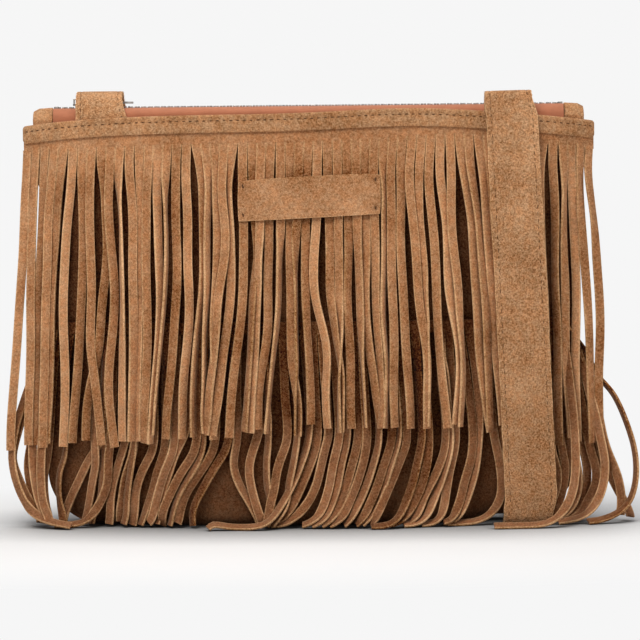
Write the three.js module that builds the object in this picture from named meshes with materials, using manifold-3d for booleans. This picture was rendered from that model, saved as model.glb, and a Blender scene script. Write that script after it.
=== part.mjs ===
// A small shoulder bag of tan suede: a lined pouch with two tiers of cut fringe on
// its front, a metal zip in its mouth and a strap whose two ends are sewn into the
// front seam of the mouth. Millimetres, +Z up. The front faces -Y, +X is to the
// viewer's right, and the origin is the middle of the flat base.

import * as THREE from 'three';
import { mergeVertices } from 'three/addons/utils/BufferGeometryUtils.js';
import Module from 'manifold-3d';

const wasm = await Module();
wasm.setup();

// Pouch
const BAG_WIDTH = 290; // over the side seams at the mouth
const BODY_WIDTH = 270; // over the side seams lower down
const PANEL_TOP = 207; // height of the suede's cut top edge, mid mouth
const MOUTH_ARCH = 5; // how much lower the mouth is at its two ends
const NECK_DROP = 45; // how far below the mouth the pouch reaches its body width
const MOUTH_DEPTH = 18.6; // front to back, over the two panels
const BELLY_DEPTH = 44;
const BELLY_HEIGHT = 72;
const BASE_DEPTH = 40;
const BASE_EDGE_RADIUS = 6;
const CORNER_LENGTH = 28; // of the rounded lower corners, along the bag
const CORNER_HEIGHT = 28;
const MOUTH_CURVE = 28; // length over which each end of the mouth closes to its seam
const BODY_CURVE = 110; // the same, lower down, where the pouch is pillow-shaped
const PILLOW_POWER = 2.2;
const SUEDE = 1.4;
const LINING = 0.6;
const LINING_LOOSENESS = 0.8; // above the bottom of the pouch
const LINING_TUCK = 3; // how much further in its side seams lie
const CLEARANCE = 0.3; // between pieces that are sewn or clipped together
const LAYER = 0.32; // between the suede layers of the mouth's seam
const SEAM_HALF_GAP = 0.15; // from the middle plane to each panel
const BASE_LAP = 5; // how far the front panel runs on under the base, past the middle
const BASE_LAP_LENGTH = 120;

// Bands over the top edges
const BAND_HEIGHT = 9;
const BAND_THICKNESS = 1.1;
const BAND_FOLD_RADIUS = 0.5;

// Zip
const ZIP_RISE = 5; // from the panels' top to the middle of the teeth
const CHAIN_LENGTH = 253;
const TOOTH_PITCH = 3.3;
const TOOTH_LENGTH = 1.9;
const TOOTH_HEAD = 1.4;
const TEETH_HEIGHT = 2.6;
const CHAIN_SLOT = 1.2; // free way between the two rows for the slider's post
const TOOTH_REACH = 1.4; // from the cord to the tooth's tip
const CORD_WIDTH = 0.9; // of the cord that the teeth are clamped on
const STOP_LENGTH = 2.2;
const TAPE_THICKNESS = 0.7;
const TAPE_HEM = 9; // of tape caught in the seam
const TAPE_SHOULDER = 0.5; // of the tape's bend below the band's top
const END_TAB_LENGTH = 10;
const END_TAB_HALF_WIDTH = 5.5;
const END_TAB_DROP = 6.4; // from its crest to its feet
const END_TAB_THICKNESS = 1.4;
const END_TAB_CREST = 0.9; // above the middle of the teeth
const END_TAB_ROUND = 1.6; // power of its saddle shape
const END_TAB_NOSE = 3; // length of its drooping outer end
const END_TAB_NOSE_DROOP = 2;
const END_TAB_DROOP = 0.4; // where the nose starts

// Slider and puller
const SLIDER_LENGTH = 12;
const SLIDER_WIDTH = 9.5;
const SLIDER_TAIL_WIDTH = 7;
const SLIDER_PLATE = 1;
const SLIDER_BASE_WIDTH = 6.2;
const SLIDER_FLANGE = 0.75;
const SLIDER_SKIRT = 1.4; // how far the flanges hang below the top plate
const SLIDER_CHAMFER = 1.2; // of its front corners
const SLIDER_TAPER = 4; // length over which it narrows to its tail
const SLIDER_POST_LENGTH = 4;
const SLIDER_POST_INSET = 1;
const SLIDER_END_GAP = 7.2; // from the first tooth to the closed slider
const CROWN_LENGTH = 4;
const CROWN_WIDTH = 1.6;
const CROWN_WALL = 0.7;
const CROWN_WINDOW = 1.9; // height of the free way under the crown
const PIN_RADIUS = 0.55;
const PIN_GAP = 0.2; // from the pin to the crown's top
const PULLER_LENGTH = 29;
const PULLER_EYE_WIDTH = 5.4;
const PULLER_TIP_WIDTH = 6.6;
const PULLER_WINDOW_LENGTH = 5.5;
const PULLER_WINDOW_WIDTH = 2.8;
const PULLER_NECK = 2; // past the window, before it widens
const PULLER_TIP_LENGTH = 3;
const PULLER_TIP_CHAMFER = 1.6;
const PULLER_HOLE_RADIUS = 1.5;
const PULLER_HOLE_FROM_END = 4;
const PULLER_TILT = 1.7; // degrees below level, where it leans on the slider

// Fringe
const STRAND_PITCH = 4.75;
const STRAND_WIDTH = 4.3;
const STRAND_THICKNESS = 1.2;
const STRAND_STEP = STRAND_THICKNESS + CLEARANCE; // every second strand hangs in front
const HEADER_BELOW_BAND = 5.5; // uncut suede that shows under the band
const UPPER_LENGTH = 147; // of the cut strands, in the middle of the front
const UPPER_END_LENGTH = 8; // how much longer they are at the sides
const UPPER_END_POWER = 1.5;
const LOWER_TOP = 104;
const LOWER_HEADER = 6;
const FLOOR_BEND_RADIUS = 6;
const FLOOR_TAIL = 9; // of each lower strand that lies on the ground
const FLOOR_SWEEP = -6; // how far that tail turns to the right
const GROUND_GAP = 0.2;
const LENGTH_CHANCE = 1.5; // how unevenly the strands are cut
const TAIL_CHANCE = 3;
const PLACE_CHANCE = 0.3; // how far strands stray from even spacing

// Label patch
const PATCH_LENGTH = 73;
const PATCH_HEIGHT = 23;
const PATCH_THICKNESS = 1.4;
const PATCH_MIDDLE = 165.5;
const PATCH_TILT = 2.5; // degrees, right end up

// Strap
const STRAP_WIDTH = 26;
const STRAP_THICKNESS = 2.4;
const STRAP_LEFT = -104.5; // middle of the strap where it is sewn in at the left
const STRAP_RIGHT = 102;
const STRAP_SEAM_DEPTH = 8; // of strap caught in the seam
const STRAP_RISE = 219.5; // middle of the strap at the top of both folds
const STRAP_LEAN = 2.3; // degrees, of the hanging strap to the right
const STRAP_FOOT_RADIUS = 4.5;
const STRAP_SOFT_RADIUS = 40; // of its gentle bends down the front and back
const STRAP_EASE_RADIUS = 10; // of its bends beside the folds on the ground
const STRAP_FOLD_ROOM = 1.5; // beside a slanted fold
const STRAP_FOLD_RADIUS = 1.5;
const STRAP_BEHIND = 50; // middle of the strap where it lies behind the bag
const STRAP_STACK_HALF = 40; // half the length of its folded stack
const STRAP_DIP = 10; // degrees, where it comes down off a fold to the ground
const STRAP_TUNNEL = 3.2; // how far the strap lifts the right end of the base
const TUNNEL_RAMP = 16; // length over which the base rises to it
const TUNNEL_FADE = 60; // height at which the lift has faded out

const SUEDE_TAN = { color: 0xa9774f, roughness: 0.95, metalness: 0 };
const SUEDE_DARK = { color: 0x6b452c, roughness: 0.95, metalness: 0 };
const SUEDE_PALE = { color: 0xb98c5f, roughness: 0.95, metalness: 0 };
const TERRACOTTA = { color: 0xb6704f, roughness: 0.85, metalness: 0 };
const LINING_CLOTH = { color: 0x4a3a2e, roughness: 0.9, metalness: 0 };
const ZIP_METAL = { color: 0x4b4640, roughness: 0.35, metalness: 1 };

// Solids and meshes

function signedVolume(a, b, c) {
  return new THREE.Vector3(...a).dot(new THREE.Vector3(...b).cross(new THREE.Vector3(...c)));
}

function solidFrom(points, faces) {
  const volume = faces.reduce(
    (sum, [a, b, c]) => sum + signedVolume(points[a], points[b], points[c]),
    0,
  );
  const outward = volume > 0 ? faces : faces.map(([a, b, c]) => [a, c, b]);
  return new wasm.Manifold(
    new wasm.Mesh({
      numProp: 3,
      vertProperties: new Float32Array(points.flat()),
      triVerts: new Uint32Array(outward.flat()),
    }),
  );
}

function solidFromGeometry(geometry) {
  geometry.deleteAttribute('normal');
  geometry.deleteAttribute('uv');
  const merged = mergeVertices(geometry, 1e-4);
  return new wasm.Manifold(
    new wasm.Mesh({
      numProp: 3,
      vertProperties: Float32Array.from(merged.attributes.position.array),
      triVerts: Uint32Array.from(merged.index.array),
    }),
  );
}

function piece(name, solid, finish) {
  const { numProp, vertProperties, triVerts } = solid.getMesh();
  const geometry = new THREE.BufferGeometry();
  geometry.setAttribute('position', new THREE.BufferAttribute(vertProperties, numProp));
  geometry.setIndex(new THREE.BufferAttribute(triVerts, 1));
  geometry.computeVertexNormals();
  const mesh = new THREE.Mesh(geometry, new THREE.MeshStandardMaterial(finish));
  mesh.name = name;
  return mesh;
}

function block([x0, y0, z0], [x1, y1, z1]) {
  const geometry = new THREE.BoxGeometry(x1 - x0, y1 - y0, z1 - z0);
  geometry.translate((x0 + x1) / 2, (y0 + y1) / 2, (z0 + z1) / 2);
  return solidFromGeometry(geometry);
}

// An outline drawn in x and y, given height between two levels.
function slab(outline, bottom, top, holes = []) {
  const shape = new THREE.Shape(outline.map(([x, y]) => new THREE.Vector2(x, y)));
  shape.holes = holes;
  const geometry = new THREE.ExtrudeGeometry(shape, {
    depth: top - bottom,
    bevelEnabled: false,
    curveSegments: 6,
  });
  geometry.translate(0, 0, bottom);
  return solidFromGeometry(geometry);
}

// Triangles over a closed outline in space, wound the way the outline runs.
function capFaces(outline) {
  const normal = new THREE.Vector3();
  outline.forEach(([x, y, z], i) => {
    const [u, v, w] = outline[(i + 1) % outline.length];
    normal.add(new THREE.Vector3((y - v) * (z + w), (z - w) * (x + u), (x - u) * (y + v)));
  });
  const size = normal.toArray().map(Math.abs);
  const dropped = size.indexOf(Math.max(...size));
  const [first, second] = [0, 1, 2].filter((axis) => axis !== dropped);
  const flat = outline.map((point) => new THREE.Vector2(point[first], point[second]));
  const turn = Math.sign(THREE.ShapeUtils.area(flat));
  return THREE.ShapeUtils.triangulateShape(flat, []).map(([a, b, c]) => {
    const same = Math.sign(THREE.ShapeUtils.area([flat[a], flat[b], flat[c]])) === turn;
    return same ? [a, b, c] : [a, c, b];
  });
}

// The same for a ring that runs along a front edge and back along a matching one, laid
// straight across from edge to edge.
function bridgeFaces(ring) {
  const partner = (i) => (ring.length - i) % ring.length;
  const faces = [];
  for (let i = 0; i < ring.length / 2; i += 1) {
    const next = i + 1;
    if (partner(next) !== next) faces.push([i, next, partner(next)]);
    if (partner(i) !== i) faces.push([i, partner(next), partner(i)]);
  }
  return faces;
}

// Joins a row of matching closed outlines into one solid.
function loft(sections, capOf = capFaces) {
  const count = sections[0].length;
  const faces = [];
  for (let s = 0; s < sections.length - 1; s += 1) {
    for (let i = 0; i < count; i += 1) {
      const a = s * count + i;
      const b = s * count + ((i + 1) % count);
      faces.push([a, b, b + count], [a, b + count, a + count]);
    }
  }
  const last = (sections.length - 1) * count;
  for (const [a, b, c] of capOf(sections[0])) faces.push([c, b, a]);
  for (const [a, b, c] of capOf(sections.at(-1))) {
    faces.push([last + a, last + b, last + c]);
  }
  return solidFrom(sections.flat(), faces);
}

// The pouch's form

const { clamp, lerp, degToRad } = THREE.MathUtils;

function smooth(share) {
  const t = clamp(share, 0, 1);
  return t * t * (3 - 2 * t);
}

function roundOff(height, radius, reach) {
  return reach * (1 - Math.sqrt(1 - clamp(1 - height / radius, 0, 1) ** 2));
}

function halfWidth(z) {
  const neck = smooth((z - PANEL_TOP + NECK_DROP) / NECK_DROP);
  return lerp(BODY_WIDTH, BAG_WIDTH, neck) / 2 - roundOff(z, CORNER_HEIGHT, CORNER_LENGTH);
}

function halfDepth(z) {
  const above = smooth((z - BELLY_HEIGHT) / (PANEL_TOP - BELLY_HEIGHT));
  const below = smooth(z / BELLY_HEIGHT);
  const lower = lerp(BASE_DEPTH, BELLY_DEPTH, below);
  const depth = z > BELLY_HEIGHT ? lerp(BELLY_DEPTH, MOUTH_DEPTH, above) : lower;
  return depth / 2 - roundOff(z, BASE_EDGE_RADIUS, BASE_EDGE_RADIUS);
}

// How far the pouch's surface, or a layer some way inside it, lies from the middle
// plane: full along the flat middle of the front and nothing at the side seams.
function levelDepth(x, level, inset = 0, tuck = 0) {
  const width = halfWidth(level) - inset - tuck;
  const rise = (level - BELLY_HEIGHT) / (PANEL_TOP - BAND_HEIGHT - BELLY_HEIGHT);
  const curve = lerp(BODY_CURVE, MOUTH_CURVE, smooth(rise));
  const along = clamp((Math.abs(x) - width + curve) / curve, 0, 1);
  return (halfDepth(level) - inset) * (1 - along ** PILLOW_POWER);
}

function archDrop(x) {
  return MOUTH_ARCH * (Math.abs(x) / (BAG_WIDTH / 2)) ** 4;
}

// The levels of the pouch sag towards its sides, fully at the mouth.
function sag(x, level) {
  return archDrop(x) * smooth((level - BELLY_HEIGHT) / (PANEL_TOP - BELLY_HEIGHT));
}

function pouchDepth(x, z, inset = 0) {
  return levelDepth(x, z + sag(x, z + sag(x, z)), inset);
}

const TUNNEL_START = STRAP_RIGHT - STRAP_WIDTH / 2 - TUNNEL_RAMP;

function baseLift(x, z) {
  return STRAP_TUNNEL * smooth((x - TUNNEL_START) / TUNNEL_RAMP) * clamp(1 - z / TUNNEL_FADE, 0, 1);
}

const bothWays = (shares) => [...shares.slice(1).reverse().map((u) => -u), ...shares];
const levels = (corner, upper) => [
  ...corner.map((share) => share * CORNER_HEIGHT),
  ...upper.map((share) => share * PANEL_TOP),
];
const STATIONS = bothWays([0, 0.25, 0.5, 0.65, 0.75, 0.84, 0.92, 1]);
const LEVELS = levels([0, 0.06, 0.2, 0.45, 1], [0.36, 0.53, 0.69, 0.83, 0.93, 1]);
const LINING_STATIONS = bothWays([0, 0.4, 0.65, 0.75, 0.84, 1]);
const LINING_LEVELS = levels([0, 0.2, 0.45, 1], [0.4, 0.7, 1]);

const OUTER_SHAPE = { stations: STATIONS, heights: LEVELS, tuck: 0 };
const LINING_SHAPE = { stations: LINING_STATIONS, heights: LINING_LEVELS, tuck: LINING_TUCK };

// A closed pouch some way inside the outer one. Extra height opens its mouth.
function pouch(inset, bottom, top, extra = 0, { stations, heights, tuck } = OUTER_SHAPE) {
  const ring = (level, rise) => {
    const width = halfWidth(level) - inset - tuck;
    const place = (u, side) => {
      const x = u * width;
      const y = side * levelDepth(x, level, inset, tuck);
      const z = lerp(bottom, top, level / PANEL_TOP);
      return [x, y, z - sag(x, level) + baseLift(x, level) + rise];
    };
    const front = stations.map((u) => place(u, -1));
    const back = stations.slice(1, -1).reverse().map((u) => place(u, 1));
    return [...front, ...back];
  };
  const rings = heights.map((level) => ring(level, 0));
  return loft(extra > 0 ? [...rings, ring(PANEL_TOP, extra)] : rings, bridgeFaces);
}

const FAR = 2 * BAG_WIDTH;
const frontHalf = block([-FAR, -FAR, -FAR], [FAR, -SEAM_HALF_GAP, FAR]);
const backHalf = block([-FAR, SEAM_HALF_GAP, -FAR], [FAR, FAR, FAR]);
const CUT_ABOVE = 20; // of free height over anything that is cut open

// The layers of the mouth's seam, from the inside out: lining, tape, panel, the
// header of the upper fringe (front only) and the band.
const LINING_INSET = SUEDE + TAPE_THICKNESS + 3 * CLEARANCE;
const FRONT_BACKING = LAYER + STRAND_THICKNESS + LAYER;
const BACK_BACKING = LAYER;
const BAND_TOP = PANEL_TOP + LAYER + BAND_THICKNESS;
const ZIP_HEIGHT = PANEL_TOP + ZIP_RISE;

// The way that the strap's sewn end takes through the front seam
const seamBottom = PANEL_TOP - archDrop(STRAP_LEFT) - STRAP_SEAM_DEPTH;
const strapSeam = pouchDepth(STRAP_LEFT, seamBottom) - SUEDE + STRAP_THICKNESS / 2;

function strapSlot(x, outer) {
  const half = STRAP_WIDTH / 2 + CLEARANCE;
  const inner = strapSeam - STRAP_THICKNESS / 2 - 2 * CLEARANCE;
  const bottom = seamBottom - CLEARANCE;
  return block([x - half, -outer, bottom], [x + half, -inner, BAND_TOP + CUT_ABOVE]);
}

function cutStrapSlots(solid, outer) {
  return solid.subtract(strapSlot(STRAP_LEFT, outer)).subtract(strapSlot(STRAP_RIGHT, outer));
}

// The two panels meet in the middle plane, but along the middle of the base the front
// one runs on under it.
function panels() {
  const wall = pouch(0, 0, PANEL_TOP).subtract(pouch(SUEDE, SUEDE, PANEL_TOP, CUT_ABOVE));
  const lap = (gap) => block(
    [-BASE_LAP_LENGTH / 2 - gap, -BASE_LAP, -SUEDE],
    [BASE_LAP_LENGTH / 2 + gap, BASE_LAP + gap, 2 * SUEDE],
  );
  const front = wall.intersect(frontHalf.add(lap(0)));
  const back = wall.intersect(backHalf).subtract(lap(2 * SEAM_HALF_GAP));
  const headerFace = pouchDepth(STRAP_LEFT, seamBottom) + LAYER + STRAND_THICKNESS;
  return [
    piece('front_panel', cutStrapSlots(front, headerFace), SUEDE_DARK),
    piece('back_panel', back, SUEDE_TAN),
  ];
}

function lining() {
  const inner = LINING_INSET + LINING;
  const top = PANEL_TOP - TAPE_THICKNESS - ZIP_RISE / 2;
  const floor = SUEDE + LINING_LOOSENESS;
  const skin = pouch(LINING_INSET, floor, top, 0, LINING_SHAPE);
  const hollow = pouch(inner, floor + LINING, top, CUT_ABOVE, LINING_SHAPE);
  return piece('lining', skin.subtract(hollow), LINING_CLOTH);
}

// Mouth

// side is -1 for the front and +1 for the back.
function band(name, side, backing) {
  const section = (x) => {
    const top = BAND_TOP - archDrop(x);
    const bottom = top - BAND_HEIGHT;
    const under = top - BAND_THICKNESS;
    const inner = (z) => pouchDepth(x, z) + backing;
    const outer = (z) => inner(z) + BAND_THICKNESS;
    const lip = Math.max(CLEARANCE, pouchDepth(x, under) - SUEDE);
    return [
      [inner(bottom), bottom],
      [outer(bottom), bottom],
      [outer(top), top - BAND_FOLD_RADIUS],
      [outer(top) - BAND_FOLD_RADIUS, top],
      [lip, top],
      [lip, under],
      [inner(under), under],
    ].map(([depth, z]) => [x, side * depth, z]);
  };
  const solid = loft(STATIONS.map((u) => section((u * BAG_WIDTH) / 2)));
  const slotEdge = strapSeam + STRAP_THICKNESS / 2 + CLEARANCE;
  return piece(name, side < 0 ? cutStrapSlots(solid, slotEdge) : solid, SUEDE_TAN);
}

const ROW_EDGE = CHAIN_SLOT / 2 + TOOTH_REACH + CORD_WIDTH;
const TAPE_EDGE = ROW_EDGE + CLEARANCE;
const CHAIN_END = CHAIN_LENGTH / 2;
const TAPE_END = CHAIN_END + CLEARANCE + STOP_LENGTH + CLEARANCE;

// The tape slopes down from the teeth, bends at the seam and hangs behind the panel.
function zipTape(name, side) {
  const section = (x) => {
    const seat = (z) => pouchDepth(x, z, SUEDE) - CLEARANCE;
    const bend = BAND_TOP - archDrop(x) - TAPE_SHOULDER;
    const hem = bend - TAPE_HEM;
    const slope = Math.atan2(ZIP_HEIGHT - bend, seat(bend) - TAPE_EDGE);
    const lean = TAPE_THICKNESS * Math.sin(slope);
    const rise = (TAPE_THICKNESS / 2) * Math.cos(slope);
    const shoulder = TAPE_THICKNESS * Math.tan(degToRad(45) - slope / 2);
    return [
      [seat(hem), hem],
      [seat(bend), bend + shoulder / 2],
      [TAPE_EDGE + lean, ZIP_HEIGHT + rise],
      [TAPE_EDGE, ZIP_HEIGHT - rise],
      [seat(bend) - TAPE_THICKNESS, bend - shoulder / 2],
      [seat(hem) - TAPE_THICKNESS, hem],
    ].map(([depth, z]) => [x, side * depth, z]);
  };
  return piece(name, loft(STATIONS.map((u) => section(u * TAPE_END))), TERRACOTTA);
}

function teethRow(name, side) {
  const count = Math.floor(CHAIN_LENGTH / TOOTH_PITCH);
  const root = CHAIN_SLOT / 2 + TOOTH_REACH;
  const tip = CHAIN_SLOT / 2;
  const offset = (side * TOOTH_PITCH) / 4; // the two rows stand half a pitch apart
  const inner = [];
  for (let i = 0; i < count; i += 1) {
    const x = (i + 0.5 - count / 2) * TOOTH_PITCH + offset;
    inner.push([x - TOOTH_LENGTH / 2, root], [x - TOOTH_HEAD / 2, tip]);
    inner.push([x + TOOTH_HEAD / 2, tip], [x + TOOTH_LENGTH / 2, root]);
  }
  const outline = [
    [-CHAIN_END, root],
    ...inner,
    [CHAIN_END, root],
    [CHAIN_END, ROW_EDGE],
    [-CHAIN_END, ROW_EDGE],
  ].map(([x, y]) => [x, side * y]);
  const half = TEETH_HEIGHT / 2;
  return piece(name, slab(outline, ZIP_HEIGHT - half, ZIP_HEIGHT + half), ZIP_METAL);
}

function zipStops() {
  const half = TEETH_HEIGHT / 2;
  const start = CHAIN_END + CLEARANCE;
  const top = (side) => {
    const [y0, y1] = [(side * CHAIN_SLOT) / 2, side * ROW_EDGE].sort((a, b) => a - b);
    return block([-start - STOP_LENGTH, y0, ZIP_HEIGHT - half], [-start, y1, ZIP_HEIGHT + half]);
  };
  const bottom = block(
    [start, -ROW_EDGE, ZIP_HEIGHT - half],
    [start + STOP_LENGTH, ROW_EDGE, ZIP_HEIGHT + half],
  );
  return [
    piece('zip_top_stop_front', top(-1), ZIP_METAL),
    piece('zip_top_stop_back', top(1), ZIP_METAL),
    piece('zip_bottom_stop', bottom, ZIP_METAL),
  ];
}

// A folded tab of suede that closes over one end of the zip like a saddle.
function endTab(name, side) {
  const start = TAPE_END + CLEARANCE;
  const shares = [-1, -0.7, -0.4, 0, 0.4, 0.7, 1];
  const section = (x, droop) => {
    const crest = ZIP_HEIGHT + END_TAB_CREST - droop;
    const rise = (share) => crest - (END_TAB_DROP - droop) * Math.abs(share) ** END_TAB_ROUND;
    const outer = shares.map((share) => [x, share * END_TAB_HALF_WIDTH, rise(share)]);
    const inner = outer.map(([, y, z]) => [x, y, z - END_TAB_THICKNESS]).reverse();
    return [...outer, ...inner];
  };
  const solid = loft([
    section(side * start, 0),
    section(side * (start + END_TAB_LENGTH - END_TAB_NOSE), END_TAB_DROOP),
    section(side * (start + END_TAB_LENGTH), END_TAB_NOSE_DROOP),
  ]);
  return piece(name, solid, SUEDE_PALE);
}

// Slider and puller, each drawn about its own middle

const PLATE_GAP = TEETH_HEIGHT / 2 + CLEARANCE;
const PLATE_TOP = PLATE_GAP + SLIDER_PLATE;
const PIN_HEIGHT = PLATE_TOP + CROWN_WINDOW - PIN_GAP - PIN_RADIUS;
const PIN_FROM_MIDDLE = CROWN_LENGTH / 2 - SLIDER_LENGTH / 2;
const SLIDER_START = -CHAIN_END + SLIDER_END_GAP;

function sliderSolid() {
  const half = SLIDER_LENGTH / 2;
  const wide = SLIDER_WIDTH / 2;
  const tail = SLIDER_TAIL_WIDTH / 2;
  const outline = [
    [-half, -wide + SLIDER_CHAMFER],
    [-half + SLIDER_CHAMFER, -wide],
    [half - SLIDER_TAPER, -wide],
    [half, -tail],
  ];
  const plate = [...outline, ...outline.map(([x, y]) => [x, -y]).reverse()];
  const top = slab(plate, PLATE_GAP, PLATE_TOP);
  const narrow = SLIDER_BASE_WIDTH / 2;
  const base = block([-half, -narrow, -PLATE_TOP], [half, narrow, -PLATE_GAP]);
  const postHalf = CHAIN_SLOT / 2 - CLEARANCE;
  const post = block(
    [-half + SLIDER_POST_INSET, -postHalf, -PLATE_TOP],
    [-half + SLIDER_POST_INSET + SLIDER_POST_LENGTH, postHalf, PLATE_TOP],
  );
  const skirt = (side) => {
    const [y0, y1] = [side * wide, side * (wide - SLIDER_FLANGE)].sort((a, b) => a - b);
    return block(
      [-half + SLIDER_CHAMFER, y0, PLATE_GAP - SLIDER_SKIRT],
      [half - SLIDER_TAPER, y1, PLATE_TOP],
    );
  };
  const crownLow = [-half, -CROWN_WIDTH / 2, PLATE_GAP + SLIDER_PLATE / 2];
  const crownHigh = [-half + CROWN_LENGTH, CROWN_WIDTH / 2, PLATE_TOP + CROWN_WINDOW + CROWN_WALL];
  const window = block(
    [-half + CROWN_WALL, -CROWN_WIDTH, PLATE_TOP],
    [-half + CROWN_LENGTH - CROWN_WALL, CROWN_WIDTH, PLATE_TOP + CROWN_WINDOW],
  );
  const crown = block(crownLow, crownHigh).subtract(window);
  return [base, post, skirt(-1), skirt(1), crown].reduce((all, next) => all.add(next), top);
}

function pullerSolid() {
  const eye = PULLER_EYE_WIDTH / 2;
  const tip = PULLER_TIP_WIDTH / 2;
  const end = PULLER_LENGTH - PIN_RADIUS;
  const lowerEdge = [
    [-PIN_RADIUS, -eye],
    [PULLER_WINDOW_LENGTH + PULLER_NECK, -eye],
    [end - PULLER_TIP_LENGTH, -tip],
    [end, -tip + PULLER_TIP_CHAMFER],
  ];
  const outline = [...lowerEdge, ...lowerEdge.map(([x, y]) => [x, -y]).reverse()];
  const windowHalf = PULLER_WINDOW_WIDTH / 2;
  const window = new THREE.Path([
    new THREE.Vector2(PIN_RADIUS, -windowHalf),
    new THREE.Vector2(PIN_RADIUS + PULLER_WINDOW_LENGTH, -windowHalf),
    new THREE.Vector2(PIN_RADIUS + PULLER_WINDOW_LENGTH, windowHalf),
    new THREE.Vector2(PIN_RADIUS, windowHalf),
  ]);
  const hole = new THREE.Path();
  hole.absarc(end - PULLER_HOLE_FROM_END, 0, PULLER_HOLE_RADIUS, 0, 2 * Math.PI, false);
  return slab(outline, -PIN_RADIUS, PIN_RADIUS, [window, hole]);
}

function slider() {
  const group = new THREE.Group();
  group.position.set(SLIDER_START + SLIDER_LENGTH / 2, 0, ZIP_HEIGHT);
  group.add(piece('zip_slider', sliderSolid(), ZIP_METAL));
  const hinge = new THREE.Group();
  hinge.position.set(PIN_FROM_MIDDLE, 0, PIN_HEIGHT);
  hinge.rotation.y = degToRad(PULLER_TILT);
  hinge.add(piece('zip_puller', pullerSolid(), ZIP_METAL));
  group.add(hinge);
  return group;
}

// Fringe

// A repeatable number between -1 and 1 for each strand.
function chance(index, salt) {
  const wave = Math.sin(index * 12.9898 + salt * 78.233) * 43758.5453;
  return 2 * (wave - Math.floor(wave)) - 1;
}

// A value between stops of place and value, in rising order of place.
function between(stops, place) {
  const next = stops.findIndex(([at]) => at >= place);
  if (next < 0) return stops.at(-1)[1];
  if (next === 0) return stops[0][1];
  const [[from, low], [to, high]] = [stops[next - 1], stops[next]];
  return lerp(low, high, (place - from) / (to - from));
}

// How far the strands' ends swing to the right, by their place along the front.
const UPPER_LEAN = [[-145, -9.5], [-115, -6], [-80, -6], [-20, 0], [30, 0], [90, 5]];
const LOWER_LEAN = [[-135, -17], [-100, -20], [0, -14], [60, -9], [128, -4], [132, 26]];
const LOWER_LEAN_POWER = 1.5; // they swing mostly low down

// Where strands part and show the dark panel: place along the front and width.
const PARTINGS = [
  [-122, 1.5], [-101.5, 4.2], [-91.5, 1.6], [-74.5, 2.4], [-58, 3.4], [-43, 1.8],
  [-37.5, 3.6], [-23.5, 2.4], [6, 3], [21, 2], [30, 3], [49.5, 2.4], [61.5, 1.4],
  [75, 2.2], [90, 4.2], [119.5, 2.6], [126, 2.6], [131.5, 2.4],
];
const PARTING_REACH = 9;

function partingShift(x, pitch, count) {
  return PARTINGS.reduce((sum, [place, width]) => {
    const slit = (Math.round(place / pitch + count / 2) - count / 2) * pitch;
    const away = x - slit;
    return sum + Math.sign(away) * (width / 2) * Math.exp(-Math.abs(away) / PARTING_REACH);
  }, 0);
}

function stack(outline) {
  return outline.map(([front, back]) => ({ front, back }));
}

// One strip of suede, cut into strands below its header. Each strand is a list of
// sections of four corners: front left, front right, back right, back left.
function fringeSolid(strands, topEdge) {
  const points = [];
  const faces = [];
  const add = (point) => points.push(point) - 1;
  const quad = (a, b, c, d) => faces.push([a, b, c], [a, c, d]);
  const cutEdge = [];
  for (const sections of strands) {
    let above = sections[0].map(add);
    cutEdge.push([above[0], above[3]], [above[1], above[2]]);
    for (const section of sections.slice(1)) {
      const below = section.map(add);
      for (let i = 0; i < 4; i += 1) {
        const j = (i + 1) % 4;
        quad(below[i], below[j], above[j], above[i]);
      }
      above = below;
    }
    quad(above[0], above[3], above[2], above[1]);
  }
  const low = stack(cutEdge);
  const high = stack(topEdge.map(([front, back]) => [add(front), add(back)]));
  const xOf = (entry) => points[entry.front][0];
  let i = 0;
  let j = 0;
  while (i < low.length - 1 || j < high.length - 1) {
    const alongLow = j === high.length - 1
      || (i < low.length - 1 && xOf(low[i + 1]) <= xOf(high[j + 1]));
    const next = alongLow ? low[i + 1] : high[j + 1];
    faces.push([low[i].front, next.front, high[j].front]);
    faces.push([low[i].back, high[j].back, next.back]);
    if (alongLow) i += 1;
    else j += 1;
  }
  for (let k = 0; k < high.length - 1; k += 1) {
    quad(high[k].front, high[k + 1].front, high[k + 1].back, high[k].back);
  }
  for (let k = 1; k < low.length - 1; k += 2) {
    quad(low[k].front, low[k].back, low[k + 1].back, low[k + 1].front);
  }
  const [lowEnd, highEnd] = [low.at(-1), high.at(-1)];
  quad(low[0].back, low[0].front, high[0].front, high[0].back);
  quad(lowEnd.front, lowEnd.back, highEnd.back, highEnd.front);
  return solidFrom(points, faces);
}

// A strand's section at a place on its back face, whose depth is looked up at both its
// edges. tilt turns the strand from hanging (0) to lying on the ground with its front
// face up (90 degrees).
function strandSection(x, depthAt, z, tilt = 0) {
  const out = STRAND_THICKNESS * Math.cos(tilt);
  const up = STRAND_THICKNESS * Math.sin(tilt);
  const left = x - STRAND_WIDTH / 2;
  const right = x + STRAND_WIDTH / 2;
  return [
    [left, -(depthAt(left) + out), z + up],
    [right, -(depthAt(right) + out), z + up],
    [right, -depthAt(right), z],
    [left, -depthAt(left), z],
  ];
}

function strandPlaces(width) {
  const count = Math.floor(width / STRAND_PITCH);
  const pitch = width / count;
  const places = [];
  for (let i = 0; i < count; i += 1) places.push((i + 0.5 - count / 2) * pitch);
  return { places, pitch, count };
}

// The upper tier hangs further from the pouch lower down, over the lower tier.
const UPPER_SLACK = [
  { drop: 0, slack: LAYER },
  { drop: 10, slack: 0.8 },
  { drop: 49, slack: 2.4 },
  { drop: 99, slack: 5.4 },
];
const UPPER_TIP_SLACK = 6.4;
const upperSlit = (x) => BAND_TOP - BAND_HEIGHT - HEADER_BELOW_BAND - archDrop(x);
const underPatch = (x) => Math.abs(x) < PATCH_LENGTH / 2 + STRAND_PITCH;

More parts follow.
